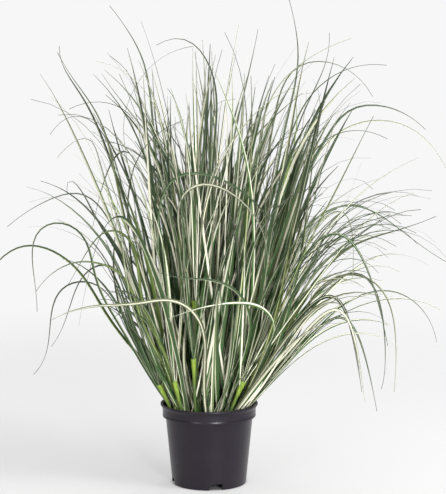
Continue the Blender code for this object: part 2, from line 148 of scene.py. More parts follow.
def link_mesh(name: str, mesh: bpy.types.Mesh, material: bpy.types.Material) -> bpy.types.Object:
    """Put a mesh into the scene as an object at the origin, with its material.

    Args:
        name: object name.
        mesh: mesh with its place in its vertices.
        material: the finish.

    Returns:
        The new object.
    """
    mesh.materials.append(material)
    piece = bpy.data.objects.new(name, mesh)
    bpy.context.collection.objects.link(piece)
    return piece


def report(piece: bpy.types.Object) -> None:
    """Log one piece with its number of faces."""
    LOG.info("%s: %d faces", piece.name, len(piece.data.polygons))


# ---------------------------------------------------------------- surfaces
def ring_grid(radius: np.ndarray, height: np.ndarray, sectors: int) -> np.ndarray:
    """Rings about the Z axis: the points (r(i) cos a, r(i) sin a, z(i, a)).

    Args:
        radius: (n,) radius of each ring.
        height: (n, 1) or (n, sectors) heights.
        sectors: number of steps round.

    Returns:
        (n, sectors, 3) points.
    """
    angle = np.linspace(0.0, math.tau, sectors, endpoint=False)
    flat = radius[:, None]
    level = np.broadcast_to(height, (len(radius), sectors))
    return np.stack([flat * np.cos(angle), flat * np.sin(angle), level], axis=-1)


def turned_mesh(name: str, profile: np.ndarray, sectors: int) -> bpy.types.Mesh:
    """Turn a profile about the Z axis.

    The surface is (r(i) cos a, r(i) sin a, z(i)) over the profile's points i and the angle a. The profile
    starts and ends on the axis, where each end is a single vertex, so the shell is closed.

    Args:
        name: mesh name.
        profile: (n, 2) radii and heights, from the axis round to the axis, outer side first.
        sectors: number of steps round.

    Returns:
        A closed mesh with outward faces.
    """
    grid = ring_grid(profile[1:-1, 0], profile[1:-1, 1, None], sectors)
    return closed_grid_mesh(name, grid, (0.0, 0.0, profile[0, 1]), (0.0, 0.0, profile[-1, 1]))


def closed_grid_mesh(name: str, grid: np.ndarray, first_pole: tuple, last_pole: tuple) -> bpy.types.Mesh:
    """Join rings of points into a closed shell with a pole at each end.

    Args:
        name: mesh name.
        grid: (rings, sectors, 3) points.
        first_pole: the point that closes the first ring.
        last_pole: the point that closes the last ring.

    Returns:
        A closed mesh, smooth, with outward faces.
    """
    rings, sectors = grid.shape[:2]
    here = np.arange(rings * sectors).reshape(rings, sectors)
    beside = np.roll(here, -1, axis=1)
    quads = np.stack([here[:-1], beside[:-1], beside[1:], here[1:]], axis=-1).reshape(-1, 4)
    start, end = rings * sectors, rings * sectors + 1
    fan = np.stack([np.full(sectors, start), beside[0], here[0]], axis=-1)
    far_fan = np.stack([np.full(sectors, end), here[-1], beside[-1]], axis=-1)
    points = np.vstack([grid.reshape(-1, 3), [first_pole], [last_pole]])
    faces = quads.tolist() + fan.tolist() + far_fan.tolist()
    mesh = bpy.data.meshes.new(name)
    mesh.from_pydata(points.tolist(), [], faces)
    mesh.shade_smooth()
    return outward(mesh)


def outward(mesh: bpy.types.Mesh) -> bpy.types.Mesh:
    """Flip a closed mesh whose signed volume is negative, so that its faces point outwards.

    Args:
        mesh: closed mesh.

    Returns:
        The same mesh.
    """
    points = np.empty(len(mesh.vertices) * 3)
    mesh.vertices.foreach_get("co", points)
    mesh.calc_loop_triangles()
    corners = np.empty(len(mesh.loop_triangles) * 3, np.int32)
    mesh.loop_triangles.foreach_get("vertices", corners)
    triangles = points.reshape(-1, 3)[corners.reshape(-1, 3)]
    if np.linalg.det(triangles).sum() < 0.0:
        mesh.flip_normals()
    return mesh


# ---------------------------------------------------------------- strips
STRIP_SAMPLES = 81
END_HOLD = 1000.0  # how much harder a blade's two ends are held than its other stated points
STRIP_STIFFNESS = 3e-10  # how strongly a blade keeps to an even bend between its stated points
LANE_MARGIN = 0.04  # free edge of each blade's lane in the side-by-side map
BLADE_TWIST_DEG = 50.0  # how far a long blade's face turns from its root to its tip
TIP_DEPTH_POWER = 1.4  # a long blade leans out of its own plane more and more towards its tip

# Outline across a strip, as shares of its width: (across, raised, how far round the strip, 0 to 2).
# The front runs from 0 to 1 and the back from 1 to 2.
KEEL = np.array([(-0.5, 0.0, 0.0), (0.0, 0.20, 0.5), (0.5, 0.0, 1.0)])
FOLDED = np.array(
    [
        (-0.50, 0.02, 0.0),
        (-0.26, 0.11, 0.25),
        (0.00, 0.24, 0.5),
        (0.26, 0.11, 0.75),
        (0.50, 0.02, 1.0),
        (0.24, 0.01, 1.25),
        (0.00, 0.12, 1.5),
        (-0.24, 0.01, 1.75),
    ]
)


def bent_strip(points: np.ndarray) -> np.ndarray:
    """The line that a springy strip takes past its stated points.

    It is the least-squares line of STRIP_SAMPLES points that stays near each stated point, holds both
    ends, and changes its bend as little as it can (its third differences are kept small).

    Args:
        points: (n, 3) stated points, root first.

    Returns:
        (STRIP_SAMPLES, 3) points.
    """
    run = np.concatenate([[0.0], np.cumsum(np.linalg.norm(np.diff(points, axis=0), axis=1))])
    place = run / run[-1] * (STRIP_SAMPLES - 1)
    below = np.minimum(place.astype(int), STRIP_SAMPLES - 2)
    share = place - below
    rows = np.arange(len(points))
    nearness = np.zeros((len(points), STRIP_SAMPLES))
    nearness[rows, below] = 1.0 - share
    nearness[rows, below + 1] = share
    hold = np.ones((len(points), 1))
    hold[[0, -1]] = END_HOLD
    bending = np.diff(np.eye(STRIP_SAMPLES), 3, axis=0) * (STRIP_SAMPLES - 1) ** 3
    left = np.vstack([nearness * hold, math.sqrt(STRIP_STIFFNESS) * bending])
    right = np.vstack([points * hold, np.zeros((len(bending), 3))])
    return np.linalg.lstsq(left, right, rcond=None)[0]


def at_stations(line: np.ndarray, count: int) -> np.ndarray:
    """Space the points of a line evenly.

    Args:
        line: (m, 3) points.
        count: number of points wanted.

    Returns:
        (count, 3) points on the same line.
    """
    run = np.concatenate([[0.0], np.cumsum(np.linalg.norm(np.diff(line, axis=0), axis=1))])
    wanted = np.linspace(0.0, run[-1], count)
    return np.stack([np.interp(wanted, run, line[:, axis]) for axis in range(3)], axis=1)


@dataclass
class Strips:
    """Thin blades that share one mesh: n centre lines with s stations each.

    Attributes:
        lines: (n, s, 3) centre lines, root first.
        wide: (n, s) width at each station.
        turn: (n, s) radians that the face is turned from square to the blade's heading.
        band: (n, 2) middle and half width of the pale printed band, as shares of the width.
        tone: (n,) how light the blade's green is, from 0 to 1.
        section: outline across the strip.
    """

    lines: np.ndarray
    wide: np.ndarray
    turn: np.ndarray
    band: np.ndarray
    tone: np.ndarray
    section: np.ndarray

    def directions(self) -> tuple[np.ndarray, np.ndarray]:
        """Across-the-blade and out-of-the-keel directions at every station.

        The level direction square to the blade's heading is made square to the line, then turned about it.

        Returns:
            Two (n, s, 3) arrays of unit vectors.
        """
        along = unit(np.gradient(self.lines, axis=1))
        heading = unit(self.lines[:, -1, :2] - self.lines[:, 0, :2] + 1e-6)
        level = np.column_stack([-heading[:, 1], heading[:, 0], np.zeros(len(heading))])[:, None, :]
        across = unit(level - (level * along).sum(-1, keepdims=True) * along)
        out = np.cross(along, across)
        cosine, sine = np.cos(self.turn)[..., None], np.sin(self.turn)[..., None]
        return across * cosine + out * sine, out * cosine - across * sine

    def mesh(self, name: str) -> bpy.types.Mesh:
        """Carry the section along every line.

        A vertex is line(t) + width(t) (a * across(t) + b * out(t)) for each point (a, b) of the section.

        Args:
            name: mesh name.

        Returns:
            One mesh with the "strip" map (across, metres along), the side-by-side "OFBake" map and the
            "marks" attribute (band middle, band half width, tone, share of the length).
        """
        count, stations, ring = *self.wide.shape, len(self.section)
        across, out = self.directions()
        a, b, round_share = self.section.T
        offset = a[:, None] * across[:, :, None, :] + b[:, None] * out[:, :, None, :]
        points = self.lines[:, :, None, :] + self.wide[:, :, None, None] * offset
        here = np.arange(count * stations * ring).reshape(count, stations, ring)
        beside = np.roll(here, -1, axis=2)
        quads = np.stack([here[:, :-1], beside[:, :-1], beside[:, 1:], here[:, 1:]], axis=-1)
        caps = np.concatenate([here[:, 0, ::-1], here[:, -1]])
        mesh = bpy.data.meshes.new(name)
        mesh.from_pydata(
            points.reshape(-1, 3).tolist(), [], quads.reshape(-1, 4).tolist() + caps.tolist()
        )
        run = np.linalg.norm(np.diff(self.lines, axis=1), axis=2)
        metres = np.concatenate([np.zeros((count, 1)), np.cumsum(run, axis=1)], axis=1)
        share = np.linspace(0.0, 1.0, stations)
        self._write_maps(mesh, quads.shape[:3], round_share, metres, share)
        marks = np.empty((count, stations, ring, 4), np.float32)
        marks[..., 0] = self.band[:, 0, None, None]
        marks[..., 1] = self.band[:, 1, None, None]
        marks[..., 2] = self.tone[:, None, None]
        marks[..., 3] = share[None, :, None]
        layer = mesh.attributes.new("marks", "FLOAT_COLOR", "POINT")
        layer.data.foreach_set("color", marks.ravel())
        mesh.shade_smooth()
        mesh.set_sharp_from_angle(angle=math.radians(40.0))
        return outward(mesh)

    @staticmethod
    def _write_maps(
        mesh: bpy.types.Mesh,
        shape: tuple[int, int, int],
        round_share: np.ndarray,
        metres: np.ndarray,
        share: np.ndarray,
    ) -> None:
        """Write both maps, corner by corner in the order that mesh() makes its faces.

        Args:
            mesh: mesh that takes the maps.
            shape: number of strips, of steps along and of faces round.
            round_share: place of each section point round the strip, 0 to 2.
            metres: (n, s) distance along each line.
            share: (s,) share of the length.
        """
        count, steps, ring = shape
        next_round = np.append(round_share[1:], 2.0)
        side = np.stack([round_share, next_round, next_round, round_share], axis=-1).ravel()
        lane = np.arange(count)
        # The caps come after the sides: every root, then every tip.
        across = np.concatenate(
            [np.tile(side, count * steps), np.tile(round_share[::-1], count), np.tile(round_share, count)]
        )
        lanes = np.repeat(np.concatenate([np.repeat(lane, steps * 4), lane, lane]), ring)
        packed_across = (lanes + LANE_MARGIN + (0.5 - LANE_MARGIN) * across) / count
        maps = (
            ("strip", across, metres),
            ("OFBake", packed_across, np.broadcast_to(share, metres.shape)),
        )
        for name, sideways, stations in maps:
            low, high = stations[:, :-1, None], stations[:, 1:, None]
            sides = np.broadcast_to(np.stack([low, low, high, high], axis=-1), (*shape, 4))
            caps = np.repeat(np.concatenate([stations[:, 0], stations[:, -1]]), ring)
            upward = np.concatenate([sides.ravel(), caps])
            values = np.column_stack([sideways, upward]).astype(np.float32)
            mesh.uv_layers.new(name=name).uv.foreach_set("vector", values.ravel())


# ---------------------------------------------------------------- finishes
class BladeKind(Enum):
    """The printed patterns that the blades come in; the value is the record's slot."""

    GREEN = "blade_green"
    CREAM = "blade_cream"
    OLIVE = "blade_olive"
    LIME = "blade_lime"


@dataclass(frozen=True)
class PrintedPolyethylene:
    """Thin extruded polyethylene strip, printed with grass stripes: satin, a little waxy, finely ribbed.

    Attributes:
        name: material name.
        deep: the darkest green of the print.
        ground: the lightest green of the print.
        band: the pale printed band.
        back: the unprinted back, which shows the colour of the plastic.
        tip: the dull dark grey of the thin tip, where the print is stretched.
        tip_share: how far the tip has turned to that grey.
    """

    name: str
    deep: str
    ground: str
    band: str
    back: str
    tip: str = "#2b3226"
    tip_share: float = 0.75

    # To the eye: a dull sheen along fine ribs, and ink that streaks along the blade and wears off in places.
    RIBS = 9.0  # moulded ribs across a blade, about 0.6 mm apart on a 5.5 mm blade
    LINE_SHARE = 0.10  # how dark the thin printed line in each rib is
    STREAKS = 11.0  # fibre streaks across a blade, about 0.5 mm apart
    STREAK_RUN = 1.0 / (14.0 * MM)  # a printed fibre streak is about 14 mm long
    STREAK_CONTRAST = 0.7
    STREAK_SHIFT = 91.0  # moves the streaks on from blade to blade, by the blade's tone
    TONE_MIDDLE = 0.50  # tone at which only the streaks set the green
    BLOTCH_RUN = 1.0 / (60.0 * MM)  # the print fades and darkens over about 60 mm
    BLOTCH_SHIFT = 53.0  # moves the blotches on from blade to blade
    BLOTCH_RANGE = (0.35, 0.75)  # noise values between which the fading comes in
    FADE_SHARE = 0.22  # most that the print fades
    BLEED = 0.16  # how far the band's edge runs along the fibres, as a share of the width
    BAND_EDGE = (0.06, 0.11)  # where the band begins and ends to fade, past its half width
    BACK_SHARE = 0.35  # how much of the bare plastic shows on the back
    TIP_RANGE = (0.35, 0.90)  # shares of the length over which the tip's grey comes in
    ROUGHNESS = (0.36, 0.56)  # from fresh to worn print
    RIB_HEIGHT = 0.15 * MM
    SHEEN = 0.32  # specular level of the ribbed, printed skin

    def make(self) -> bpy.types.Material:
        """Build the material from the strip map and the marks of each blade.

        Returns:
            The finished material.
        """
        material, tree, shader = new_material(self.name)
        add = partial(add_node, tree)
        marks = add("ShaderNodeAttribute", attribute_name="marks")
        parts = add("ShaderNodeSeparateColor", {"Color": marks.outputs["Color"]})
        middle, half, tone = parts.outputs
        strip = add("ShaderNodeUVMap", uv_map="strip")
        place = add("ShaderNodeSeparateXYZ", {"Vector": strip.outputs["UV"]})
        across = add("ShaderNodeMath", {0: place.outputs["X"], 1: 1.0}, operation="PINGPONG")
        # Long thin streaks: fine across the blade, slow along it, different on each blade.
        fibre_place = add(
            "ShaderNodeCombineXYZ",
            {
                "X": add("ShaderNodeMath", {0: across, 1: self.STREAKS}, operation="MULTIPLY"),
                "Y": add(
                    "ShaderNodeMath", {0: place.outputs["Y"], 1: self.STREAK_RUN}, operation="MULTIPLY"
                ),
                "Z": add("ShaderNodeMath", {0: tone, 1: self.STREAK_SHIFT}, operation="MULTIPLY"),
            },
        )
        fibre = add("ShaderNodeTexNoise", {"Vector": fibre_place, "Scale": 1.0, "Detail": 2.0})
        blotch_place = add(
            "ShaderNodeCombineXYZ",
            {
                "X": across,
                "Y": add(
                    "ShaderNodeMath", {0: place.outputs["Y"], 1: self.BLOTCH_RUN}, operation="MULTIPLY"
                ),
                "Z": add("ShaderNodeMath", {0: tone, 1: self.BLOTCH_SHIFT}, operation="MULTIPLY"),
            },
        )
        blotch = add("ShaderNodeTexNoise", {"Vector": blotch_place, "Scale": 1.0, "Detail": 1.0})
        # Green ground: the blade's own tone, moved a little by the fibres.
        lightness = add(
            "ShaderNodeMath",
            {
                0: fibre.outputs["Fac"],
                1: self.STREAK_CONTRAST,
                2: add("ShaderNodeMath", {0: tone, 1: self.TONE_MIDDLE}, operation="SUBTRACT"),
            },
            operation="MULTIPLY_ADD",
            use_clamp=True,
        )
        ground = add(
            "ShaderNodeMix",
            {0: lightness, 6: linear(self.deep), 7: linear(self.ground)},
            data_type="RGBA",
        )
        # Pale band: near its middle line, with an edge that bleeds along the fibres.
        distance = add(
            "ShaderNodeMath",
            {0: add("ShaderNodeMath", {0: across, 1: middle}, operation="SUBTRACT")},
            operation="ABSOLUTE",
        )
        bled = add(
            "ShaderNodeMath",
            {0: fibre.outputs["Fac"], 1: self.BLEED, 2: distance},
            operation="MULTIPLY_ADD",
        )
        edge = add("ShaderNodeMath", {0: half, 1: self.BAND_EDGE[1]}, operation="ADD")
        inner = add("ShaderNodeMath", {0: half, 1: self.BAND_EDGE[0]}, operation="ADD")
        band = add(
            "ShaderNodeMapRange",
            {"Value": bled, "From Min": inner, "From Max": edge, "To Min": 1.0, "To Max": 0.0},
            interpolation_type="SMOOTHSTEP",
        )
        # Fine ribs: a sine across the blade, which also carries thin darker lines of print.
        rib = add(
            "ShaderNodeMath",
            {0: add("ShaderNodeMath", {0: across, 1: self.RIBS * math.tau}, operation="MULTIPLY")},
            operation="SINE",
        )
        line_share = add(
            "ShaderNodeMapRange",
            {"Value": rib, "From Min": -1.0, "From Max": 1.0, "To Max": self.LINE_SHARE},
        )
        # The back of the strip carries less print.
        is_back = add("ShaderNodeMath", {0: place.outputs["X"], 1: 1.0}, operation="GREATER_THAN")
        back_share = add("ShaderNodeMath", {0: is_back, 1: self.BACK_SHARE}, operation="MULTIPLY")
        # The print fades in slow blotches.
        fade = add(
            "ShaderNodeMapRange",
            {
                "Value": blotch.outputs["Fac"],
                "From Min": self.BLOTCH_RANGE[0],
                "From Max": self.BLOTCH_RANGE[1],
                "To Max": self.FADE_SHARE,
            },
        )
        # The thin tip is stretched and goes grey; the marks' alpha is the share of the length.
        tip_share = add(
            "ShaderNodeMapRange",
            {
                "Value": marks.outputs["Alpha"],
                "From Min": self.TIP_RANGE[0],
                "From Max": self.TIP_RANGE[1],
                "To Max": self.tip_share,
            },
        )
        # The layers of print and wear, from the ground up.
        layers = (
            (band, self.band),
            (line_share, self.deep),
            (back_share, self.back),
            (fade, self.back),
            (tip_share, self.tip),
        )
        colour = ground
        for layer, tint in layers:
            colour = add(
                "ShaderNodeMix", {0: layer, 6: colour.outputs[2], 7: linear(tint)}, data_type="RGBA"
            )
        gloss = add(
            "ShaderNodeMapRange",
            {"Value": blotch.outputs["Fac"], "To Min": self.ROUGHNESS[0], "To Max": self.ROUGHNESS[1]},
        )
        bump = add("ShaderNodeBump", {"Strength": 0.35, "Distance": self.RIB_HEIGHT, "Height": rib})
        skin = {"Roughness": gloss, "Normal": bump, "IOR": 1.5, "Specular IOR Level": self.SHEEN}
        feed(tree, shader, {"Base Color": colour.outputs[2], **skin})
        return material


@dataclass(frozen=True)
class MouldedPolypropylene:
    """Black injection-moulded polypropylene: satin, with a faint grained skin and cloudy marks of dust and
    handling.

    Attributes:
        name: material name.
        body: colour of the plastic.
        dust: colour where dust and handling have dulled it.
    """

    name: str = "moulded_polypropylene"
    body: str = "#1c161f"
    dust: str = "#2a242d"

    # To the eye: near black with a soft sheen that breaks up in cloudy marks and a faint grain.
    GRAIN = 1.0 / (1.1 * MM)  # moulded grain, drawn coarser than the real 0.3 mm so that it shows
    CLOUD = 1.0 / (35.0 * MM)  # handling marks a few centimetres across
    CLOUD_RANGE = (0.42, 0.78)
    DUST_SHARE = 0.30  # most that dust covers
    ROUGHNESS = (0.24, 0.38)
    SHEEN = 0.30  # specular level of the grained skin

    def make(self) -> bpy.types.Material:
        """Build the material on Object coordinates.

        Returns:
            The finished material.
        """
        material, tree, shader = new_material(self.name)
        add = partial(add_node, tree)
        place = add("ShaderNodeTexCoord")
        clouds = add(
            "ShaderNodeTexNoise",
            {"Vector": place.outputs["Object"], "Scale": self.CLOUD, "Detail": 4.0, "Roughness": 0.6},
        )
        skin = add(
            "ShaderNodeTexNoise", {"Vector": place.outputs["Object"], "Scale": self.GRAIN, "Detail": 2.0}
        )
        dusty = add(
            "ShaderNodeMapRange",
            {
                "Value": clouds.outputs["Fac"],
                "From Min": self.CLOUD_RANGE[0],
                "From Max": self.CLOUD_RANGE[1],
                "To Max": self.DUST_SHARE,
            },
        )
        colour = add(
            "ShaderNodeMix", {0: dusty, 6: linear(self.body), 7: linear(self.dust)}, data_type="RGBA"
        )
        gloss = add(
            "ShaderNodeMapRange",
            {"Value": clouds.outputs["Fac"], "To Min": self.ROUGHNESS[0], "To Max": self.ROUGHNESS[1]},
        )
        bump = add(
            "ShaderNodeBump", {"Strength": 0.25, "Distance": 0.1 * MM, "Height": skin.outputs["Fac"]}
        )
        finish = {"Roughness": gloss, "Normal": bump, "IOR": 1.49, "Specular IOR Level": self.SHEEN}
        feed(tree, shader, {"Base Color": colour.outputs[2], **finish})
        return material


@dataclass(frozen=True)
class MouldedPolyethylene:
    """Bright lime moulded polyethylene of the stem cups: soft and satin, a little see-through, with painted
    shade in its creases and down the stem.

    Attributes:
        name: material name.
        body: colour of the plastic.
        shade: painted shade, the darker green in the hollows of its creases.
        low: painted shade, the darker green of the stem under the cup, where it goes in among the blades.
    """

    name: str = "moulded_lime_polyethylene"
    body: str = "#94ad3a"
    shade: str = "#69862e"
    low: str = "#3f5622"

    # To the eye: a bright, slightly see-through sleeve with long creases; painted shade darkens the hollows of
    # the creases and the stem below the cup.
    CREASE = 1.0 / (3.0 * MM)  # creases about 3 mm apart
    CREASE_STRETCH = 0.22  # how slowly they change along the stem
    CREASE_RANGE = (0.35, 0.70)

    def make(self) -> bpy.types.Material:
        """Build the material on Object coordinates, with faint creases along the cup.

        Returns:
            The finished material.
        """
        material, tree, shader = new_material(self.name)
        add = partial(add_node, tree)
        place = add("ShaderNodeTexCoord")
        along = add(
            "ShaderNodeMapping",
            {"Vector": place.outputs["Object"], "Scale": (1.0, 1.0, self.CREASE_STRETCH)},
        )
        creases = add("ShaderNodeTexNoise", {"Vector": along, "Scale": self.CREASE, "Detail": 3.0})
        shift = add(
            "ShaderNodeMapRange",
            {
                "Value": creases.outputs["Fac"],
                "From Min": self.CREASE_RANGE[0],
                "From Max": self.CREASE_RANGE[1],
            },
        )
        # Painted shade: the darker green lies in the hollows of the creases, where the bump sinks in.
        colour = add(
            "ShaderNodeMix", {0: shift, 6: linear(self.shade), 7: linear(self.body)}, data_type="RGBA"
        )
        # Painted shade down the stem: "rise" is 1 near the lip and 0 further down, where the darker green
        # stands in for the blades' shade.
        rise = add("ShaderNodeAttribute", attribute_name="rise")
        shaded_stem = add(
            "ShaderNodeMix",
            {0: rise.outputs["Fac"], 6: linear(self.low), 7: colour.outputs[2]},
            data_type="RGBA",
        )
        bump = add(
            "ShaderNodeBump", {"Strength": 0.4, "Distance": 0.3 * MM, "Height": creases.outputs["Fac"]}
        )
        finish = {
            "Base Color": shaded_stem.outputs[2],
            "Normal": bump,
            "Roughness": 0.42,
            "IOR": 1.5,
            "Subsurface Weight": 0.15,
            "Subsurface Radius": (0.004, 0.004, 0.001),
        }
        feed(tree, shader, finish)
        return material


@dataclass(frozen=True)
class CastCement:
    """Dark-stained cast cement: dull, gritty, with paler grains.

    Attributes:
        name: material name.
        body: colour of the stained cement.
        grain: colour of the sand in it.
    """

    name: str = "cast_cement"
    body: str = "#1d1a18"
    grain: str = "#4b453f"

    # To the eye: dark potting soil, gritty and without any sheen.
    GRIT = 1.0 / (2.2 * MM)  # sand grains of about 2 mm

    def make(self) -> bpy.types.Material:
        """Build the material on Object coordinates.

        Returns:
            The finished material.
        """
        material, tree, shader = new_material(self.name)
        add = partial(add_node, tree)
        place = add("ShaderNodeTexCoord")
        grains = add("ShaderNodeTexVoronoi", {"Vector": place.outputs["Object"], "Scale": self.GRIT})
        colour = add(
            "ShaderNodeMix",
            {0: grains.outputs["Distance"], 6: linear(self.grain), 7: linear(self.body)},
            data_type="RGBA",
            clamp_factor=True,
        )
        bump = add(
            "ShaderNodeBump",
            {"Strength": 0.8, "Distance": 0.6 * MM, "Height": grains.outputs["Distance"]},
        )
        feed(tree, shader, {"Base Color": colour.outputs[2], "Normal": bump, "Roughness": 0.95})
        return material


BLADE_FINISHES = {
    BladeKind.GREEN: PrintedPolyethylene(
        "printed_polyethylene_green", "#0e240f", "#47743a", "#f4f4d4", "#4a5c3a"
    ),
    BladeKind.CREAM: PrintedPolyethylene(
        "printed_polyethylene_cream", "#12290f", "#4c783b", "#fffce6", "#8b8f6c", tip_share=0.34
    ),
    BladeKind.OLIVE: PrintedPolyethylene(
        "printed_polyethylene_olive", "#22390f", "#6c8c38", "#e2e8b0", "#69733f"
    ),
    BladeKind.LIME: PrintedPolyethylene(
        "printed_polyethylene_lime", "#4f7324", "#93b23c", "#cbd97a", "#869a50", tip_share=0.20
    ),
}


# ---------------------------------------------------------------- pot and filling
@dataclass
class NurseryPot:
    """The thin-walled pot: tapered wall, collar with a bead, rolled rim and four drain notches.

    Attributes:
        rim_radius: over the rolled rim.
        rim_top: height of the rim.
        collar_radius: over the collar, without its bead.
        collar_bottom: height of the collar's lower edge.
        wall_top_radius: where the tapered wall meets the collar.
        foot_radius: over the foot ring.
        foot_width: across the foot ring.
        wall: thickness of the wall.
        floor_underside: how far the floor stands off the ground.
        notch_count: drain notches in the foot.
        notch_first_deg: place of the first notch round the foot.
        notch_width: width of a notch at the ground.
        notch_top_width: width at its top.
        notch_height: height of a notch.
        notch_reach: how far a notch reaches in from the foot ring.
        undercut: how far the wall runs up behind the collar's lower edge.
        sectors: steps round.
    """

    rim_radius: float
    rim_top: float
    collar_radius: float = 0.0710
    collar_bottom: float = 0.1045
    wall_top_radius: float = 0.0673
    foot_radius: float = 0.0570
    foot_width: float = 0.0030
    wall: float = 0.0016
    floor_underside: float = 0.0070
    notch_count: int = 4
    notch_first_deg: float = -79.0
    notch_width: float = 0.0220
    notch_top_width: float = 0.0195
    notch_height: float = 0.0095
    notch_reach: float = 0.0080
    undercut: float = 0.0012
    sectors: int = 192

    def wall_radius(self, height: float) -> float:
        """Outer radius of the tapered wall at a height."""
        return self.foot_radius + (self.wall_top_radius - self.foot_radius) * height / self.collar_bottom

    def profile(self) -> np.ndarray:
        """The wall's outline with its corners rounded.

        Returns:
            (n, 2) radii and heights from the centre of the underside, up the outside, over the rim and
            down to the middle of the floor.
        """
        rim, top, collar, low = self.rim_radius, self.rim_top, self.collar_radius, self.collar_bottom
        floor_top = self.floor_underside + self.wall
        inner_foot = self.foot_radius - self.foot_width
        foot_ring = [
            (inner_foot, self.floor_underside, 0.0004),
            (inner_foot, 0.0, 0.0004),
            (self.foot_radius, 0.0, 0.0007),
        ]
        bead = [
            (self.wall_radius(low), low + self.undercut, 0.0003),
            (collar + 0.0006, low - 0.0004, 0.0003),
            (collar + 0.0011, low + 0.0018, 0.0008),
            (collar + 0.0006, low + 0.0040, 0.0010),
        ]
        rolled_rim = [
            (collar + 0.0010, top - 0.0058, 0.0020),
            (rim, top - 0.0030, 0.0010),
            (rim, top, 0.0010),
            (rim - 0.0046, top, 0.0014),
        ]
        inside = [
            (collar - self.wall, top - 0.0070, 0.0014),
            (collar - self.wall, low + 0.0052, 0.0010),
            (self.wall_radius(low) - self.wall, low + 0.0022, 0.0010),
            (self.wall_radius(floor_top) - self.wall, floor_top, 0.0010),
        ]
        corners = [*foot_ring, *bead, *rolled_rim, *inside]
        outline = rounded_outline(corners, steps=4)
        return np.vstack([[(0.0, self.floor_underside)], outline, [(0.0, floor_top)]])

    def notch_cutter(self, index: int) -> bpy.types.Object:
        """A wedge that stands in one drain notch.

        Args:
            index: number of the notch.

        Returns:
            The wedge.
        """
        turn = math.radians(self.notch_first_deg + 360.0 / self.notch_count * index)
        half, half_top, below = self.notch_width / 2, self.notch_top_width / 2, -0.002
        outline = np.array(
            [(-half, below), (half, below), (half_top, self.notch_height), (-half_top, self.notch_height)]
        )
        reach = np.array([self.foot_radius - self.notch_reach, self.foot_radius + self.notch_reach])
        radial = np.repeat(reach, 4)
        sideways, height = np.tile(outline[:, 0], 2), np.tile(outline[:, 1], 2)
        points = np.column_stack(
            [
                radial * math.cos(turn) - sideways * math.sin(turn),
                radial * math.sin(turn) + sideways * math.cos(turn),
                height,
            ]
        )
        sides = [(i, (i + 1) % 4, 4 + (i + 1) % 4, 4 + i) for i in range(4)]
        mesh = bpy.data.meshes.new("notch_cutter")
        mesh.from_pydata(points.tolist(), [], [(3, 2, 1, 0), (4, 5, 6, 7), *sides])
        cutter = bpy.data.objects.new("notch_cutter", outward(mesh))
        bpy.context.collection.objects.link(cutter)
        return cutter

    def build(self) -> bpy.types.Object:
        """Turn the pot, cut its notches and dress it.

        Returns:
            The piece.
        """
        mesh = turned_mesh("nursery_pot", self.profile(), self.sectors)
        pot = link_mesh("nursery_pot", mesh, MouldedPolypropylene().make())
        cutters = [self.notch_cutter(index) for index in range(self.notch_count)]
        for cutter in cutters:
            modifier = pot.modifiers.new("notch", "BOOLEAN")
            modifier.operation = "DIFFERENCE"
            modifier.solver = "EXACT"
            modifier.object = cutter
        graph = bpy.context.evaluated_depsgraph_get()
        cut_mesh = bpy.data.meshes.new_from_object(pot.evaluated_get(graph))
        pot.modifiers.clear()
        pot.data = cut_mesh
        cut_mesh.shade_smooth()
        cut_mesh.set_sharp_from_angle(angle=math.radians(50.0))
        for cutter in cutters:
            bpy.data.objects.remove(cutter, do_unlink=True)
        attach(pot, "root")
        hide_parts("pot")
        return pot


def rounded_outline(corners: list[tuple[float, float, float]], steps: int) -> np.ndarray:
    """Round each corner of an open outline.

    A corner p with radius share r becomes the quadratic curve from p + r u to p + r v with p as its
    handle, where u and v point to the corners before and after it.

    Args:
        corners: radius, height and how far the rounding reaches along both sides.
        steps: segments in each rounded corner.

    Returns:
        (n, 2) outline points.
    """
    points = np.array([corner[:2] for corner in corners])
    reach = np.array([corner[2] for corner in corners])[:, None]
    before = unit(np.roll(points, 1, axis=0) - points)
    after = unit(np.roll(points, -1, axis=0) - points)
    before[0] = (-1.0, 0.0)
    after[-1] = (-1.0, 0.0)
    start, end = points + reach * before, points + reach * after
    t = np.linspace(0.0, 1.0, steps + 1)[None, :, None]
    curve = (1 - t) ** 2 * start[:, None] + 2 * t * (1 - t) * points[:, None] + t**2 * end[:, None]
    return curve.reshape(-1, 2)


@dataclass
class CastFilling:
    """The dark plug in the pot: a gritty, slightly uneven top between the blades.

    Attributes:
        radius: of the top.
        bottom: height of its underside.
        top: height of its surface.
        foot_radius: radius of the underside.
        rings: rings across the top.
        sectors: steps round.
        grit: how deep the top's unevenness is.
    """

    radius: float
    bottom: float
    top: float
    foot_radius: float
    rings: int = 26
    sectors: int = 96
    grit: float = 0.0016

    EDGE = 0.0012  # width of the slope round the top

    def build(self, noise: np.random.Generator) -> bpy.types.Object:
        """Build the plug.

        The top is a disc whose height is the filling's level less a random grit that is smoothed over its
        neighbours; the side runs straight down to the bottom.

        Args:
            noise: random numbers.

        Returns:
            The piece.
        """
        inward = np.linspace(1.0, 1.0 / self.rings, self.rings) * (self.radius - self.EDGE)
        rough = noise.random((self.rings, self.sectors))
        rough = (rough + np.roll(rough, 1, axis=1) + np.roll(rough, 1, axis=0)) / 3
        top = ring_grid(inward, self.top - self.grit * rough, self.sectors)
        levels = np.array([(self.foot_radius, self.bottom), (self.radius, self.top - 2 * self.grit)])
        side = ring_grid(levels[:, 0], levels[:, 1, None], self.sectors)
        grid = np.concatenate([side, top])
        mesh = closed_grid_mesh(
            "cast_filling", grid, (0.0, 0.0, self.bottom), (0.0, 0.0, self.top - self.grit / 2)
        )
        piece = link_mesh("cast_filling", mesh, CastCement().make())
        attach(piece, "root")
        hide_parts("filling")
        return piece


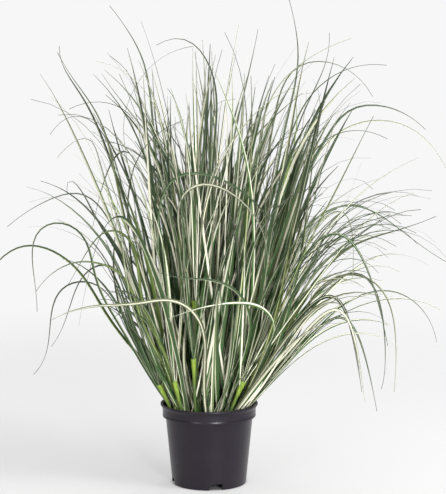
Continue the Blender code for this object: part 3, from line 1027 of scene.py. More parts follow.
# ---------------------------------------------------------------- stem cups
@dataclass(frozen=True)
class StemCup:
    """One moulded stem that flares into the cup that a tuft of blades grows out of.

    Attributes:
        name: the solid's name.
        foot: x, y on the filling's surface.
        mouth: centre of the cup's lip.
        radius: radius over the lip.
        spread_deg: how far the tuft's blades fan out from the cup's axis.
    """

    name: str
    foot: tuple[float, float]
    mouth: tuple[float, float, float]
    radius: float
    spread_deg: float = 11.0

    FOOT_RADIUS = 0.0023
    SOCKET_DEPTH = 0.0100  # how far the stem goes down into the filling
    CUP_DEPTH = 0.0140  # of the hollow in the cup
    HOLLOW_RADIUS = 0.0016  # at the bottom of the hollow
    LIP = 0.0007  # thickness of the cup's wall
    FLARE = 0.0300  # length over which the stem widens into the cup
    CREASE_STEP = 4.5 * MM  # from one crease round the cup to the next
    CREASE_DEPTH = 0.018  # as a share of the radius
    SQUEEZE = 0.07  # how far the cup is pressed oval, as a share of the radius
    LIP_WAVE = 0.0007  # how far the lip rises and falls
    SHADE_BELOW = 0.045  # distance under the lip from which the stem is fully in painted shade
    SHADE_RUN = 0.030  # length over which that painted shade comes in
    SIDES = 28

    def axis(self, level: float) -> tuple[np.ndarray, np.ndarray, float]:
        """Where the stem stands, the way it points and how long it is.

        Args:
            level: height of the filling's surface.

        Returns:
            Foot point, unit vector to the mouth, and the length between them.
        """
        foot = np.array([*self.foot, level])
        rise = np.array(self.mouth) - foot
        length = float(np.linalg.norm(rise))
        return foot, rise / length, length

    def build(self, level: float, noise: np.random.Generator) -> bpy.types.Object:
        """Build the stem as a surface of height and angle.

        The radius grows from the foot to the lip by a smooth step over the flare, turns over the lip and
        runs back down inside the cup. A slow ripple with height gives the creases that a squeezed sleeve
        has, and the lip rises and falls twice round.

        Args:
            level: height of the filling's surface.
            noise: random numbers.

        Returns:
            The piece.
        """
        foot, along, length = self.axis(level)
        height = np.concatenate(
            [[-self.SOCKET_DEPTH, 0.0], np.linspace(0.2, 1.0, 5) * (length - self.FLARE)]
        )
        rise = np.linspace(0.06, 1.0, 18)
        height = np.concatenate([height, length - self.FLARE * (1.0 - rise)])
        swell = np.clip((height - length + self.FLARE) / self.FLARE, 0.0, 1.0)
        radius = self.FOOT_RADIUS + (self.radius - self.FOOT_RADIUS) * swell**1.3 * (2.0 - swell**0.7)
        inside = np.linspace(0.0, 1.0, 8)
        inner_radius = self.radius - self.LIP - (self.radius - self.LIP - self.HOLLOW_RADIUS) * inside**0.8
        inner_height = length - self.CUP_DEPTH * inside
        lip_height, lip_radius = [length + 0.0003], [self.radius - self.LIP * 0.5]
        heights = np.concatenate([height, lip_height, inner_height])[:, None]
        radii = np.concatenate([radius, lip_radius, inner_radius])[:, None]
        angle = np.linspace(0.0, math.tau, self.SIDES, endpoint=False)[None, :]
        near_lip = np.clip((heights - length + self.FLARE) / self.FLARE, 0.0, 1.0) ** 2
        phase = noise.random(3) * math.tau
        ripple = np.sin(heights / self.CREASE_STEP * math.tau + 1.2 * np.sin(angle + phase[0]))
        oval = np.cos(2 * (angle + phase[1]))
        radii = radii * (1.0 + near_lip * (self.CREASE_DEPTH * ripple + self.SQUEEZE * oval))
        heights = heights + near_lip * self.LIP_WAVE * np.sin(2 * angle + phase[2])
        side = unit(np.cross(along, (0.0, 1.0, 0.2)))
        front = np.cross(along, side)
        grid = (
            foot
            + heights[..., None] * along
            + (radii * np.cos(angle))[..., None] * side
            + (radii * np.sin(angle))[..., None] * front
        )
        first = foot - self.SOCKET_DEPTH * along
        last = foot + (length - self.CUP_DEPTH) * along
        mesh = closed_grid_mesh(f"cup_{self.name}", grid, tuple(first), tuple(last))
        mesh.set_sharp_from_angle(angle=math.radians(60.0))
        # Painted shade: the stem darkens from the lip down into the clump, in place of the shade of the blades
        # round it.
        bright = np.clip((heights - length + self.SHADE_BELOW) / self.SHADE_RUN, 0.0, 1.0)
        layer = mesh.attributes.new("rise", "FLOAT", "POINT")
        layer.data.foreach_set("value", np.append(bright.ravel(), (0.0, 0.3)).astype(np.float32))
        piece = link_mesh(f"cup_{self.name}", mesh, FINISHES["stem_plastic"])
        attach(piece, "root")
        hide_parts(self.name)
        return piece


STEM_CUPS = (
    StemCup("stem_front_left", (-0.036, -0.045), (-0.052, -0.052, 0.168), 0.0038),
    StemCup("stem_front", (-0.020, -0.053), (-0.023, -0.057, 0.203), 0.0038, 8.0),
    StemCup("stem_front_right", (0.024, -0.050), (0.052, -0.057, 0.169), 0.0050),
    StemCup("stem_left", (-0.050, -0.026), (-0.075, -0.033, 0.159), 0.0045),
    StemCup("stem_tall", (-0.016, -0.036), (-0.022, -0.047, 0.290), 0.0048, 7.0),
    StemCup("stem_back_left", (-0.034, 0.044), (-0.047, 0.062, 0.166), 0.0045),
    StemCup("stem_back_right", (0.036, 0.044), (0.052, 0.062, 0.172), 0.0045),
    StemCup("stem_right", (0.052, 0.009), (0.070, 0.010, 0.158), 0.0042),
)


# ---------------------------------------------------------------- single blades
ROOT_SINK = 0.0025  # how far a blade's foot goes down into the gritty top of the filling


@dataclass(frozen=True)
class ShapedBlade:
    """One long blade that has its own solid.

    Attributes:
        name: the solid's name without its "blade_".
        kind: the printed pattern.
        root: x, y on the filling's surface.
        tip_y: how far back its tip lies.
        width: full width.
        turn_deg: how far its face is turned from square to its heading.
        line: x, z points up the blade, the last at its tip.
        taper: how late the blade tapers.
    """

    name: str
    kind: BladeKind
    root: tuple[float, float]
    tip_y: float
    width: float
    turn_deg: float
    line: tuple[tuple[float, float], ...]
    taper: float = 2.2

    def points(self, level: float) -> np.ndarray:
        """Place the stated points in space: the depth grows from root to tip by a power of the run.

        Args:
            level: height of the root.

        Returns:
            (n, 3) points.
        """
        flat = np.array([(self.root[0], level), *self.line])
        run = np.concatenate([[0.0], np.cumsum(np.linalg.norm(np.diff(flat, axis=0), axis=1))])
        depth = self.root[1] + (self.tip_y - self.root[1]) * (run / run[-1]) ** TIP_DEPTH_POWER
        return np.stack([flat[:, 0], depth, flat[:, 1]], axis=1)


@dataclass(frozen=True)
class ArchingBlade:
    """One long blade that arches straight out of the clump.

    Attributes:
        name: the solid's name without its "blade_".
        kind: the printed pattern.
        heading_deg: direction it leans in, 90 being straight back.
        root_radius: distance of its root from the pot's axis.
        reach: distance of its tip from the pot's axis.
        crest: height of its highest point.
        tip: height of its tip.
        width: full width.
        turn_deg: how far its face is turned from square to its heading.
        taper: how late the blade tapers.
    """

    name: str
    kind: BladeKind
    heading_deg: float
    root_radius: float
    reach: float
    crest: float
    tip: float
    width: float
    turn_deg: float = 20.0
    taper: float = 2.6

    def points(self, level: float) -> np.ndarray:
        """Place the root, a rising point, the crest and the tip, in the upright plane of its heading.

        Args:
            level: height of the root.

        Returns:
            (4, 3) points.
        """
        heading = math.radians(self.heading_deg)
        shares = np.array([0.0, 0.22, 0.62, 1.0])
        out = self.root_radius + shares * (self.reach - self.root_radius)
        high = np.array([level, 0.66 * self.crest, self.crest, self.tip])
        return np.column_stack([out * math.cos(heading), out * math.sin(heading), high])


LATE_TAPER = 3.4  # of the blades that keep their width almost to the tip
LATEST_TAPER = 3.6
SHAPED_BLADES = (
    ShapedBlade("left_high_dark", BladeKind.GREEN, (-0.036, 0.004), 0.05, 0.0060, 50, (
        (-0.070, 0.235), (-0.105, 0.345), (-0.135, 0.450), (-0.155, 0.505), (-0.175, 0.555),
        (-0.205, 0.610), (-0.230, 0.650), (-0.230, 0.670)), LATE_TAPER),
    ShapedBlade("left_high_olive", BladeKind.OLIVE, (-0.046, -0.012), -0.03, 0.0045, 60, (
        (-0.075, 0.230), (-0.110, 0.345), (-0.140, 0.475), (-0.150, 0.520), (-0.170, 0.575),
        (-0.195, 0.610), (-0.225, 0.660)), LATE_TAPER),
    ShapedBlade("top_left_spear", BladeKind.GREEN, (-0.022, 0.014), 0.02, 0.0050, 40, (
        (-0.050, 0.265), (-0.070, 0.405), (-0.085, 0.550), (-0.090, 0.595), (-0.100, 0.650),
        (-0.125, 0.695), (-0.150, 0.730)), LATE_TAPER),
    ShapedBlade("top_arc_pale", BladeKind.OLIVE, (-0.030, 0.034), 0.11, 0.0050, -50, (
        (-0.070, 0.245), (-0.110, 0.385), (-0.130, 0.510), (-0.135, 0.550), (-0.125, 0.585),
        (-0.090, 0.640), (-0.025, 0.670))),
    ShapedBlade("top_arc_dark", BladeKind.GREEN, (-0.004, -0.010), -0.10, 0.0060, 30, (
        (0.000, 0.255), (0.005, 0.410), (0.010, 0.550), (0.010, 0.610), (-0.015, 0.665),
        (-0.035, 0.680), (-0.075, 0.670)), LATE_TAPER),
    ShapedBlade("top_left_fine", BladeKind.GREEN, (-0.034, 0.024), 0.08, 0.0040, 35, (
        (-0.070, 0.295), (-0.090, 0.465), (-0.105, 0.570), (-0.115, 0.610), (-0.155, 0.655))),
    ShapedBlade("centre_spike_a", BladeKind.CREAM, (-0.002, 0.008), -0.02, 0.0050, 60, (
        (0.000, 0.285), (0.010, 0.440), (0.025, 0.580), (0.045, 0.700)), LATE_TAPER),
    ShapedBlade("centre_spike_b", BladeKind.GREEN, (0.008, 0.020), 0.05, 0.0055, -40, (
        (0.020, 0.355), (0.040, 0.540), (0.060, 0.625), (0.075, 0.695)), LATE_TAPER),
    ShapedBlade("top_right_spear", BladeKind.GREEN, (0.020, 0.010), 0.00, 0.0050, -45, (
        (0.065, 0.300), (0.100, 0.465), (0.125, 0.590), (0.135, 0.655), (0.130, 0.695),
        (0.120, 0.740)), LATE_TAPER),
    ShapedBlade("right_spear_a", BladeKind.GREEN, (0.024, 0.026), 0.06, 0.0045, -30, (
        (0.080, 0.340), (0.125, 0.510), (0.160, 0.600), (0.180, 0.645), (0.185, 0.690)), LATE_TAPER),
    ShapedBlade("right_long_a", BladeKind.CREAM, (0.012, -0.006), -0.05, 0.0045, -60, (
        (0.045, 0.345), (0.075, 0.515), (0.100, 0.605), (0.140, 0.645), (0.210, 0.680))),
    ShapedBlade("right_long_b", BladeKind.GREEN, (0.022, 0.036), 0.12, 0.0050, 45, (
        (0.080, 0.370), (0.125, 0.525), (0.165, 0.600), (0.220, 0.635), (0.280, 0.640))),
    ShapedBlade("right_arch_a", BladeKind.OLIVE, (0.014, 0.046), 0.14, 0.0045, 30, (
        (0.050, 0.275), (0.075, 0.430), (0.105, 0.570), (0.140, 0.640), (0.180, 0.645),
        (0.260, 0.590))),
    ShapedBlade("right_arch_b", BladeKind.GREEN, (0.040, -0.006), -0.02, 0.0055, -50, (
        (0.065, 0.205), (0.110, 0.345), (0.150, 0.480), (0.180, 0.535), (0.210, 0.575), (0.255, 0.580),
        (0.325, 0.545)), LATE_TAPER),
    ShapedBlade("right_arch_c", BladeKind.CREAM, (0.030, 0.012), 0.08, 0.0050, -40, (
        (0.100, 0.340), (0.155, 0.480), (0.205, 0.540), (0.255, 0.555), (0.370, 0.480))),
    ShapedBlade("right_arch_d", BladeKind.GREEN, (0.030, -0.020), -0.10, 0.0045, 50, (
        (0.090, 0.335), (0.135, 0.475), (0.175, 0.535), (0.200, 0.545), (0.260, 0.535))),
    ShapedBlade("right_olive", BladeKind.OLIVE, (0.047, -0.004), -0.08, 0.0060, -55, (
        (0.090, 0.190), (0.160, 0.315), (0.210, 0.370), (0.270, 0.395), (0.335, 0.420))),
    ShapedBlade("right_wide_arc", BladeKind.GREEN, (0.030, 0.024), 0.06, 0.0045, 40, (
        (0.110, 0.280), (0.155, 0.395), (0.215, 0.425), (0.285, 0.395), (0.370, 0.335))),
    ShapedBlade("right_crest", BladeKind.CREAM, (0.034, -0.012), -0.05, 0.0050, -35, (
        (0.125, 0.290), (0.165, 0.405), (0.200, 0.425), (0.215, 0.380), (0.215, 0.325))),
    ShapedBlade("right_low_a", BladeKind.GREEN, (0.042, -0.024), -0.12, 0.0065, 55, (
        (0.080, 0.185), (0.135, 0.265), (0.185, 0.300), (0.210, 0.255), (0.225, 0.165)), LATE_TAPER),
    ShapedBlade("right_low_b", BladeKind.CREAM, (0.038, -0.032), -0.17, 0.0060, 50, (
        (0.090, 0.180), (0.145, 0.250), (0.190, 0.285), (0.215, 0.235), (0.225, 0.160)), LATE_TAPER),
    ShapedBlade("right_low_c", BladeKind.GREEN, (0.040, -0.016), -0.09, 0.0055, 45, (
        (0.100, 0.170), (0.150, 0.230), (0.200, 0.265), (0.230, 0.220), (0.250, 0.130))),
    ShapedBlade("right_low_d", BladeKind.GREEN, (0.042, 0.001), 0.00, 0.0050, -50, (
        (0.125, 0.230), (0.185, 0.310), (0.225, 0.325), (0.265, 0.260), (0.265, 0.145))),
    ShapedBlade("right_low_e", BladeKind.CREAM, (0.041, 0.017), 0.05, 0.0050, -40, (
        (0.060, 0.140), (0.140, 0.250), (0.195, 0.315), (0.240, 0.315), (0.290, 0.225), (0.290, 0.130))),
    ShapedBlade("right_low_faint", BladeKind.GREEN, (0.036, 0.030), 0.16, 0.0040, 35, (
        (0.058, 0.130), (0.145, 0.205), (0.225, 0.270), (0.295, 0.280), (0.345, 0.245), (0.370, 0.190))),
    ShapedBlade("left_straight", BladeKind.GREEN, (-0.050, -0.022), -0.05, 0.0055, 50, (
        (-0.090, 0.255), (-0.125, 0.345), (-0.155, 0.395), (-0.200, 0.445), (-0.250, 0.470)), LATE_TAPER),
    ShapedBlade("left_hook", BladeKind.GREEN, (-0.050, 0.002), 0.00, 0.0050, -40, (
        (-0.115, 0.285), (-0.150, 0.375), (-0.175, 0.415), (-0.200, 0.460), (-0.215, 0.470),
        (-0.215, 0.445)), LATE_TAPER),
    ShapedBlade("left_long", BladeKind.GREEN, (-0.040, 0.013), 0.06, 0.0045, 40, (
        (-0.075, 0.205), (-0.120, 0.325), (-0.160, 0.410), (-0.200, 0.445), (-0.225, 0.440),
        (-0.265, 0.425), (-0.315, 0.390))),
    ShapedBlade("left_bowed", BladeKind.CREAM, (-0.036, 0.023), 0.10, 0.0050, -45, (
        (-0.090, 0.245), (-0.130, 0.355), (-0.155, 0.440), (-0.175, 0.495), (-0.185, 0.530),
        (-0.210, 0.520), (-0.240, 0.495))),
    ShapedBlade("left_hoop", BladeKind.GREEN, (-0.044, -0.006), -0.03, 0.0050, 45, (
        (-0.105, 0.190), (-0.150, 0.270), (-0.175, 0.330), (-0.195, 0.390), (-0.225, 0.405),
        (-0.255, 0.395), (-0.265, 0.335), (-0.260, 0.270))),
    ShapedBlade("left_big_arc", BladeKind.OLIVE, (-0.048, 0.008), 0.04, 0.0050, -50, (
        (-0.080, 0.160), (-0.165, 0.270), (-0.205, 0.330), (-0.240, 0.355), (-0.280, 0.365), (-0.320, 0.345),
        (-0.350, 0.300), (-0.365, 0.245))),
    ShapedBlade("left_olive", BladeKind.OLIVE, (-0.052, -0.034), -0.13, 0.0055, 55, (
        (-0.065, 0.185), (-0.105, 0.280), (-0.130, 0.335), (-0.155, 0.350), (-0.195, 0.355),
        (-0.220, 0.345), (-0.250, 0.315))),
    ShapedBlade("left_drop", BladeKind.OLIVE, (-0.046, -0.038), -0.16, 0.0050, 40, (
        (-0.075, 0.230), (-0.105, 0.355), (-0.120, 0.395), (-0.145, 0.405), (-0.170, 0.380),
        (-0.200, 0.330)), LATE_TAPER),
    ShapedBlade("left_low_a", BladeKind.GREEN, (-0.048, 0.019), 0.12, 0.0050, -35, (
        (-0.095, 0.215), (-0.130, 0.300), (-0.160, 0.330), (-0.180, 0.325), (-0.220, 0.265),
        (-0.255, 0.190))),
    ShapedBlade("left_low_b", BladeKind.GREEN, (-0.040, 0.034), 0.17, 0.0040, 40, (
        (-0.058, 0.140), (-0.135, 0.235), (-0.180, 0.295), (-0.220, 0.295), (-0.260, 0.205),
        (-0.290, 0.135))),
    ShapedBlade("left_fine_a", BladeKind.GREEN, (-0.030, 0.030), 0.14, 0.0040, -30, (
        (-0.075, 0.245), (-0.125, 0.400), (-0.155, 0.505), (-0.190, 0.555), (-0.210, 0.560),
        (-0.255, 0.530))),
    ShapedBlade("left_fine_b", BladeKind.OLIVE, (-0.014, 0.032), 0.15, 0.0040, 30, (
        (-0.045, 0.230), (-0.080, 0.385), (-0.100, 0.505), (-0.135, 0.570), (-0.160, 0.580),
        (-0.195, 0.580), (-0.225, 0.570))),
    ShapedBlade("front_cream_a", BladeKind.CREAM, (0.000, -0.050), -0.20, 0.0065, 60, (
        (-0.005, 0.225), (-0.015, 0.270), (-0.050, 0.300), (-0.095, 0.300), (-0.150, 0.300),
        (-0.220, 0.285)), LATEST_TAPER),
    ShapedBlade("front_cream_b", BladeKind.CREAM, (0.030, -0.040), -0.22, 0.0065, -60, (
        (0.080, 0.220), (0.095, 0.265), (0.080, 0.290), (0.055, 0.300), (-0.010, 0.300),
        (-0.055, 0.290)), LATEST_TAPER),
    ShapedBlade("front_green", BladeKind.GREEN, (0.020, -0.034), -0.15, 0.0055, 50, (
        (0.060, 0.235), (0.060, 0.275), (0.050, 0.300), (0.020, 0.325), (-0.030, 0.335),
        (-0.070, 0.345)), LATEST_TAPER),
    ShapedBlade("front_cream_arc", BladeKind.CREAM, (-0.014, -0.030), -0.15, 0.0065, -55, (
        (-0.035, 0.245), (-0.040, 0.385), (-0.035, 0.455), (-0.010, 0.470), (0.035, 0.455),
        (0.070, 0.420), (0.085, 0.360)), LATEST_TAPER),
    ShapedBlade("front_green_arc", BladeKind.GREEN, (-0.026, -0.014), -0.09, 0.0055, 45, (
        (-0.065, 0.270), (-0.075, 0.410), (-0.050, 0.475), (0.035, 0.465), (0.090, 0.415),
        (0.120, 0.370)), LATEST_TAPER),
    ShapedBlade("centre_lime", BladeKind.LIME, (0.026, 0.006), -0.06, 0.0060, 40, (
        (0.065, 0.255), (0.095, 0.410), (0.115, 0.475), (0.130, 0.550), (0.125, 0.610))),
)
ARCHING_BLADES = (
    ArchingBlade("back_right_arch", BladeKind.GREEN, 58.0, 0.050, 0.330, 0.470, 0.330, 0.0055),
    ArchingBlade("back_arch", BladeKind.CREAM, 82.0, 0.050, 0.335, 0.520, 0.400, 0.0055),
    ArchingBlade("back_low_arch", BladeKind.GREEN, 102.0, 0.056, 0.330, 0.330, 0.170, 0.0060),
    ArchingBlade("back_left_arch", BladeKind.OLIVE, 128.0, 0.046, 0.320, 0.500, 0.370, 0.0055),
    ArchingBlade("front_right_arch", BladeKind.GREEN, -40.0, 0.057, 0.330, 0.400, 0.250, 0.0060),
    ArchingBlade("front_low_arch", BladeKind.CREAM, -86.0, 0.057, 0.332, 0.330, 0.240, 0.0060),
    ArchingBlade("front_left_arch", BladeKind.GREEN, -122.0, 0.060, 0.330, 0.430, 0.290, 0.0060),
)

# Where the pale band may lie on each kind of blade: its middle, and its half width, as shares of the width.
BAND_RANGES = {
    BladeKind.GREEN: ((0.04, 0.96), (0.03, 0.13)),
    BladeKind.CREAM: ((0.10, 0.90), (0.15, 0.33)),
    BladeKind.OLIVE: ((0.10, 0.90), (0.03, 0.14)),
    BladeKind.LIME: ((0.30, 0.70), (0.02, 0.08)),
}


def printed_bands(kind: BladeKind, count: int, noise: np.random.Generator) -> np.ndarray:
    """Draw each blade's pale band.

    Args:
        kind: the printed pattern.
        count: number of blades.
        noise: random numbers.

    Returns:
        (count, 2) middle and half width of the band.
    """
    low, high = np.array(BAND_RANGES[kind]).T
    return low + (high - low) * noise.random((count, 2))


THREAD_WIDTH = 0.8 * MM  # no blade is narrower than this, even at its tip
NECK_SHARE = 0.20  # share of the length over which a blade widens from its neck


def blade_widths(full: np.ndarray, share: np.ndarray, neck: float, power: float) -> np.ndarray:
    """Widths up the blades: a narrow neck, then width times (1 - share ** power) to a thread-like tip.

    Args:
        full: (n,) full widths.
        share: (s,) shares of the length.
        neck: width at the root as a share of the full width.
        power: how late the blade tapers.

    Returns:
        (n, s) widths.
    """
    necked = neck + (1.0 - neck) * np.minimum(share / NECK_SHARE, 1.0)
    return np.maximum(full[:, None] * necked * (1.0 - share**power), THREAD_WIDTH)


@dataclass
class SingleBlades:
    """Every blade that has its own solid, built finely along the same line.

    Attributes:
        level: height of the filling's surface.
        stations: points along a blade.
        neck: width at the root as a share of the full width.
    """

    level: float
    stations: int = 46
    neck: float = 0.70

    def build(self, noise: np.random.Generator) -> list[bpy.types.Object]:
        """Build the blades one by one.

        Args:
            noise: random numbers.

        Returns:
            The pieces.
        """
        return [self.build_one(blade, noise) for blade in (*SHAPED_BLADES, *ARCHING_BLADES)]

    def build_one(
        self, blade: ShapedBlade | ArchingBlade, noise: np.random.Generator
    ) -> bpy.types.Object:
        """Build one blade with the folded section.

        Args:
            blade: the blade.
            noise: random numbers.

        Returns:
            The piece.
        """
        line = at_stations(bent_strip(blade.points(self.level - ROOT_SINK)), self.stations)
        share = np.linspace(0.0, 1.0, self.stations)
        turn = np.radians(blade.turn_deg + math.copysign(BLADE_TWIST_DEG, blade.turn_deg) * share)
        strips = Strips(
            lines=line[None],
            wide=blade_widths(np.array([blade.width]), share, self.neck, blade.taper),
            turn=turn[None],
            band=printed_bands(blade.kind, 1, noise),
            tone=noise.random(1),
            section=FOLDED,
        )
        name = f"grass_{blade.name}"
        piece = link_mesh(name, strips.mesh(name), FINISHES[blade.kind.value])
        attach(piece, "root")
        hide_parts(f"blade_{blade.name}")
        return piece


# ---------------------------------------------------------------- bunches
@dataclass(frozen=True)
class Spread:
    """A range that random values are drawn from."""

    low: float
    high: float

    def draw(self, count: int, noise: np.random.Generator) -> np.ndarray:
        """Draw evenly spread values."""
        return self.low + (self.high - self.low) * noise.random(count)

    def at(self, share: np.ndarray) -> np.ndarray:
        """The values at shares of the range."""
        return self.low + (self.high - self.low) * share


@dataclass(frozen=True)
class BladeBunch:
    """Blades of one kind that share one piece and grow over a ring of the filling.

    Attributes:
        name: piece name.
        kind: the printed pattern.
        count: number of blades.
        root: distance of the roots from the pot's axis.
        lean_deg: lean at the root; blades further out lean more.
        bend_deg: how much further a blade leans at its tip.
        power: how late the bend comes, 1 being even.
        length: length along the blade.
        width: full width.
        heading_deg: directions that the blades lean in, 0 being +X and -90 the front.
        sway_deg: how far a blade turns aside on its way, to either side.
        straighten: share of the root's lean that is lost on the way up, before the tip bends over.
        scatter_deg: how far a root may stand aside of its blade's heading.
        taper: how late the blades taper.
    """

    name: str
    kind: BladeKind
    count: int
    root: Spread
    lean_deg: Spread
    bend_deg: Spread
    power: Spread
    length: Spread
    width: Spread
    heading_deg: Spread = Spread(-180.0, 180.0)
    sway_deg: float = 46.0
    straighten: float = 0.62
    scatter_deg: float = 70.0
    taper: float = 2.8

    NECK = 0.80  # width at the root as a share of the full width
    LEAN_SCATTER = 0.22  # how loosely a blade's lean follows its place
    RIM_ROOM = 0.0650  # furthest that a blade may stand out where it passes the rim
    RIM_RISE = 0.0250  # from the filling to the rim

    def build(self, level: float, shown: list[ShownPath], noise: np.random.Generator) -> bpy.types.Object:
        """Grow the bunch and dress it.

        Args:
            level: height of the filling's surface.
            shown: cups and blades that the bunch leaves clear.
            noise: random numbers.

        Returns:
            The piece.
        """
        outward_share = np.sqrt(noise.random(self.count))
        lean_share = outward_share + self.LEAN_SCATTER * noise.normal(size=self.count)
        lean = self.lean_deg.at(np.clip(lean_share, 0.0, 1.0))
        most = self.RIM_ROOM - self.RIM_RISE * np.tan(np.radians(lean))
        reach = np.minimum(self.root.at(outward_share), most)
        heading = np.radians(self.heading_deg.draw(self.count, noise))
        place = heading + np.radians(self.scatter_deg) * noise.normal(size=self.count)
        roots = np.column_stack(
            [reach * np.cos(place), reach * np.sin(place), np.full(self.count, level - ROOT_SINK)]
        )
        lines = grown_lines(
            roots,
            np.radians(lean),
            heading,
            np.radians(self.bend_deg.draw(self.count, noise)),
            self.power.draw(self.count, noise),
            self.length.draw(self.count, noise),
            np.radians(self.sway_deg) * noise.normal(size=self.count),
            self.straighten,
            noise,
        )
        lines = swung_clear(lines, shown)
        return planted_strips(self.name, self.kind, lines, self.width, self.NECK, self.taper, noise)


GROWN_STATIONS = 20  # points along a grown blade
GROWN_TWIST_DEG = 70.0  # how far the face of a grown blade usually turns from root to tip
WAVE_DEG = 11.0  # usual size of the slow wave along a grown blade
WAVE_TURNS = 0.9  # waves along a blade
STRAIGHT_SHARE = 0.6  # share of the length over which a blade loses its first lean
SWAY_POWER = 1.5  # a blade turns aside more and more towards its tip
BOX_ROOM = 0.004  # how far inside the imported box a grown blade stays
CLUMP_LEAN = 0.045  # the whole clump leans this much to its right for each metre up
VIEW_FALL = 0.116  # how much lower a point a metre nearer to the front looks, seen from slightly above


@dataclass(frozen=True)
class ShownPath:
    """A cup or blade that stands clear at the front of the clump.

    Attributes:
        points: (n, 3) points along it.
        room: how near another blade may pass in front of it.
    """

    points: np.ndarray
    room: float

    def covered_by(self, lines: np.ndarray) -> np.ndarray:
        """Which lines pass in front of the path.

        Args:
            lines: (n, s, 3) lines.

        Returns:
            (n,) True where a line comes within the room of the path, seen from the front, and nearer.
        """
        step = np.linspace(0.0, 1.0, 5, endpoint=False)[None, None, :, None]
        dense = lines[:, :-1, None] + step * np.diff(lines, axis=1)[:, :, None]
        dense = dense.reshape(len(lines), -1, 1, 3)
        gap = dense - self.points
        aside = np.hypot(gap[..., 0], gap[..., 2] + VIEW_FALL * gap[..., 1])
        return ((aside < self.room) & (gap[..., 1] < 0.002)).any(axis=(1, 2))


def swung_clear(lines: np.ndarray, shown: list[ShownPath]) -> np.ndarray:
    """Mirror the lines that would cover a shown path over to the clump's back.

    Args:
        lines: (n, s, 3) lines.
        shown: cups and blades that stand clear.

    Returns:
        The lines, with y turned to -y for those that cover a path.
    """
    covering = np.zeros(len(lines), bool)
    for path in shown:
        covering |= path.covered_by(lines)
    return np.where(covering[:, None, None], lines * (1.0, -1.0, 1.0), lines)


def grown_lines(
    roots: np.ndarray,
    lean: np.ndarray,
    heading: np.ndarray,
    bend: np.ndarray,
    power: np.ndarray,
    length: np.ndarray,
    sway: np.ndarray,
    straighten: float,
    noise: np.random.Generator,
) -> np.ndarray:
    """Lines of blades that bend under their own weight.

    At share s of its length a blade leans lean * (1 - straighten * step(s / 0.6)) + bend * s ** power from
    upright, plus a slow wave of a few degrees, towards heading + sway * s ** 1.5, where step is the smooth
    step from 0 to 1. Its line is the running sum of those directions, drawn in about its root where it
    would leave the clump's box.

    Args:
        roots: (n, 3) root points.
        lean: (n,) lean at the root, radians.
        heading: (n,) direction it leans in, radians.
        bend: (n,) extra lean at the tip, radians.
        power: (n,) how late the bend comes.
        length: (n,) length along the blade.
        sway: (n,) how far the heading turns, radians.
        straighten: share of the root's lean that is lost on the way up.
        noise: random numbers.

    Returns:
        (n, GROWN_STATIONS, 3) lines.
    """
    steps = GROWN_STATIONS - 1
    share = ((np.arange(steps) + 0.5) / steps)[None, :]
    wave = np.radians(WAVE_DEG) * noise.normal(size=(len(roots), 1)) * share
    wave = wave * np.sin(share * math.tau * WAVE_TURNS + noise.random((len(roots), 1)) * math.tau)
    rise = np.minimum(share / STRAIGHT_SHARE, 1.0)
    upright = 1.0 - straighten * rise * rise * (3.0 - 2.0 * rise)
    tilt = lean[:, None] * upright + bend[:, None] * share ** power[:, None] + wave
    azimuth = heading[:, None] + sway[:, None] * share**SWAY_POWER
    step = np.stack([np.sin(tilt) * np.cos(azimuth), np.sin(tilt) * np.sin(azimuth), np.cos(tilt)], -1)
    step = step * (length / steps)[:, None, None]
    grown = np.concatenate([np.zeros((len(roots), 1, 3)), np.cumsum(step, axis=1)], axis=1)
    grown[..., 0] += CLUMP_LEAN * grown[..., 2]
    low, high = (np.array(corner) for corner in CAD_BOX)
    low_room, high_room = low + BOX_ROOM - roots, high - BOX_ROOM - roots
    least, most = np.minimum(grown.min(axis=1), -1e-6), np.maximum(grown.max(axis=1), 1e-6)
    fit = np.minimum(np.minimum(high_room / most, low_room / least).min(axis=1), 1.0)
    return roots[:, None, :] + grown * fit[:, None, None]


def planted_strips(
    name: str,
    kind: BladeKind,
    lines: np.ndarray,
    width: Spread,
    neck: float,
    taper: float,
    noise: np.random.Generator,
) -> bpy.types.Object:
    """Turn grown lines into one dressed piece.

    Args:
        name: piece name.
        kind: the printed pattern.
        lines: (n, s, 3) lines.
        width: full width.
        neck: width at the root as a share of the full width.
        taper: how late the blades taper.
        noise: random numbers.

    Returns:
        The piece.
    """
    count, stations = lines.shape[:2]
    share = np.linspace(0.0, 1.0, stations)
    turn = noise.random((count, 1)) * math.tau
    turn = turn + np.radians(GROWN_TWIST_DEG) * noise.normal(size=(count, 1)) * share
    strips = Strips(
        lines=lines,
        wide=blade_widths(width.draw(count, noise), share, neck, taper),
        turn=turn,
        band=printed_bands(kind, count, noise),
        tone=noise.random(count),
        section=KEEL,
    )
    piece = link_mesh(name, strips.mesh(name), FINISHES[kind.value])
    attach(piece, "root")
    return piece


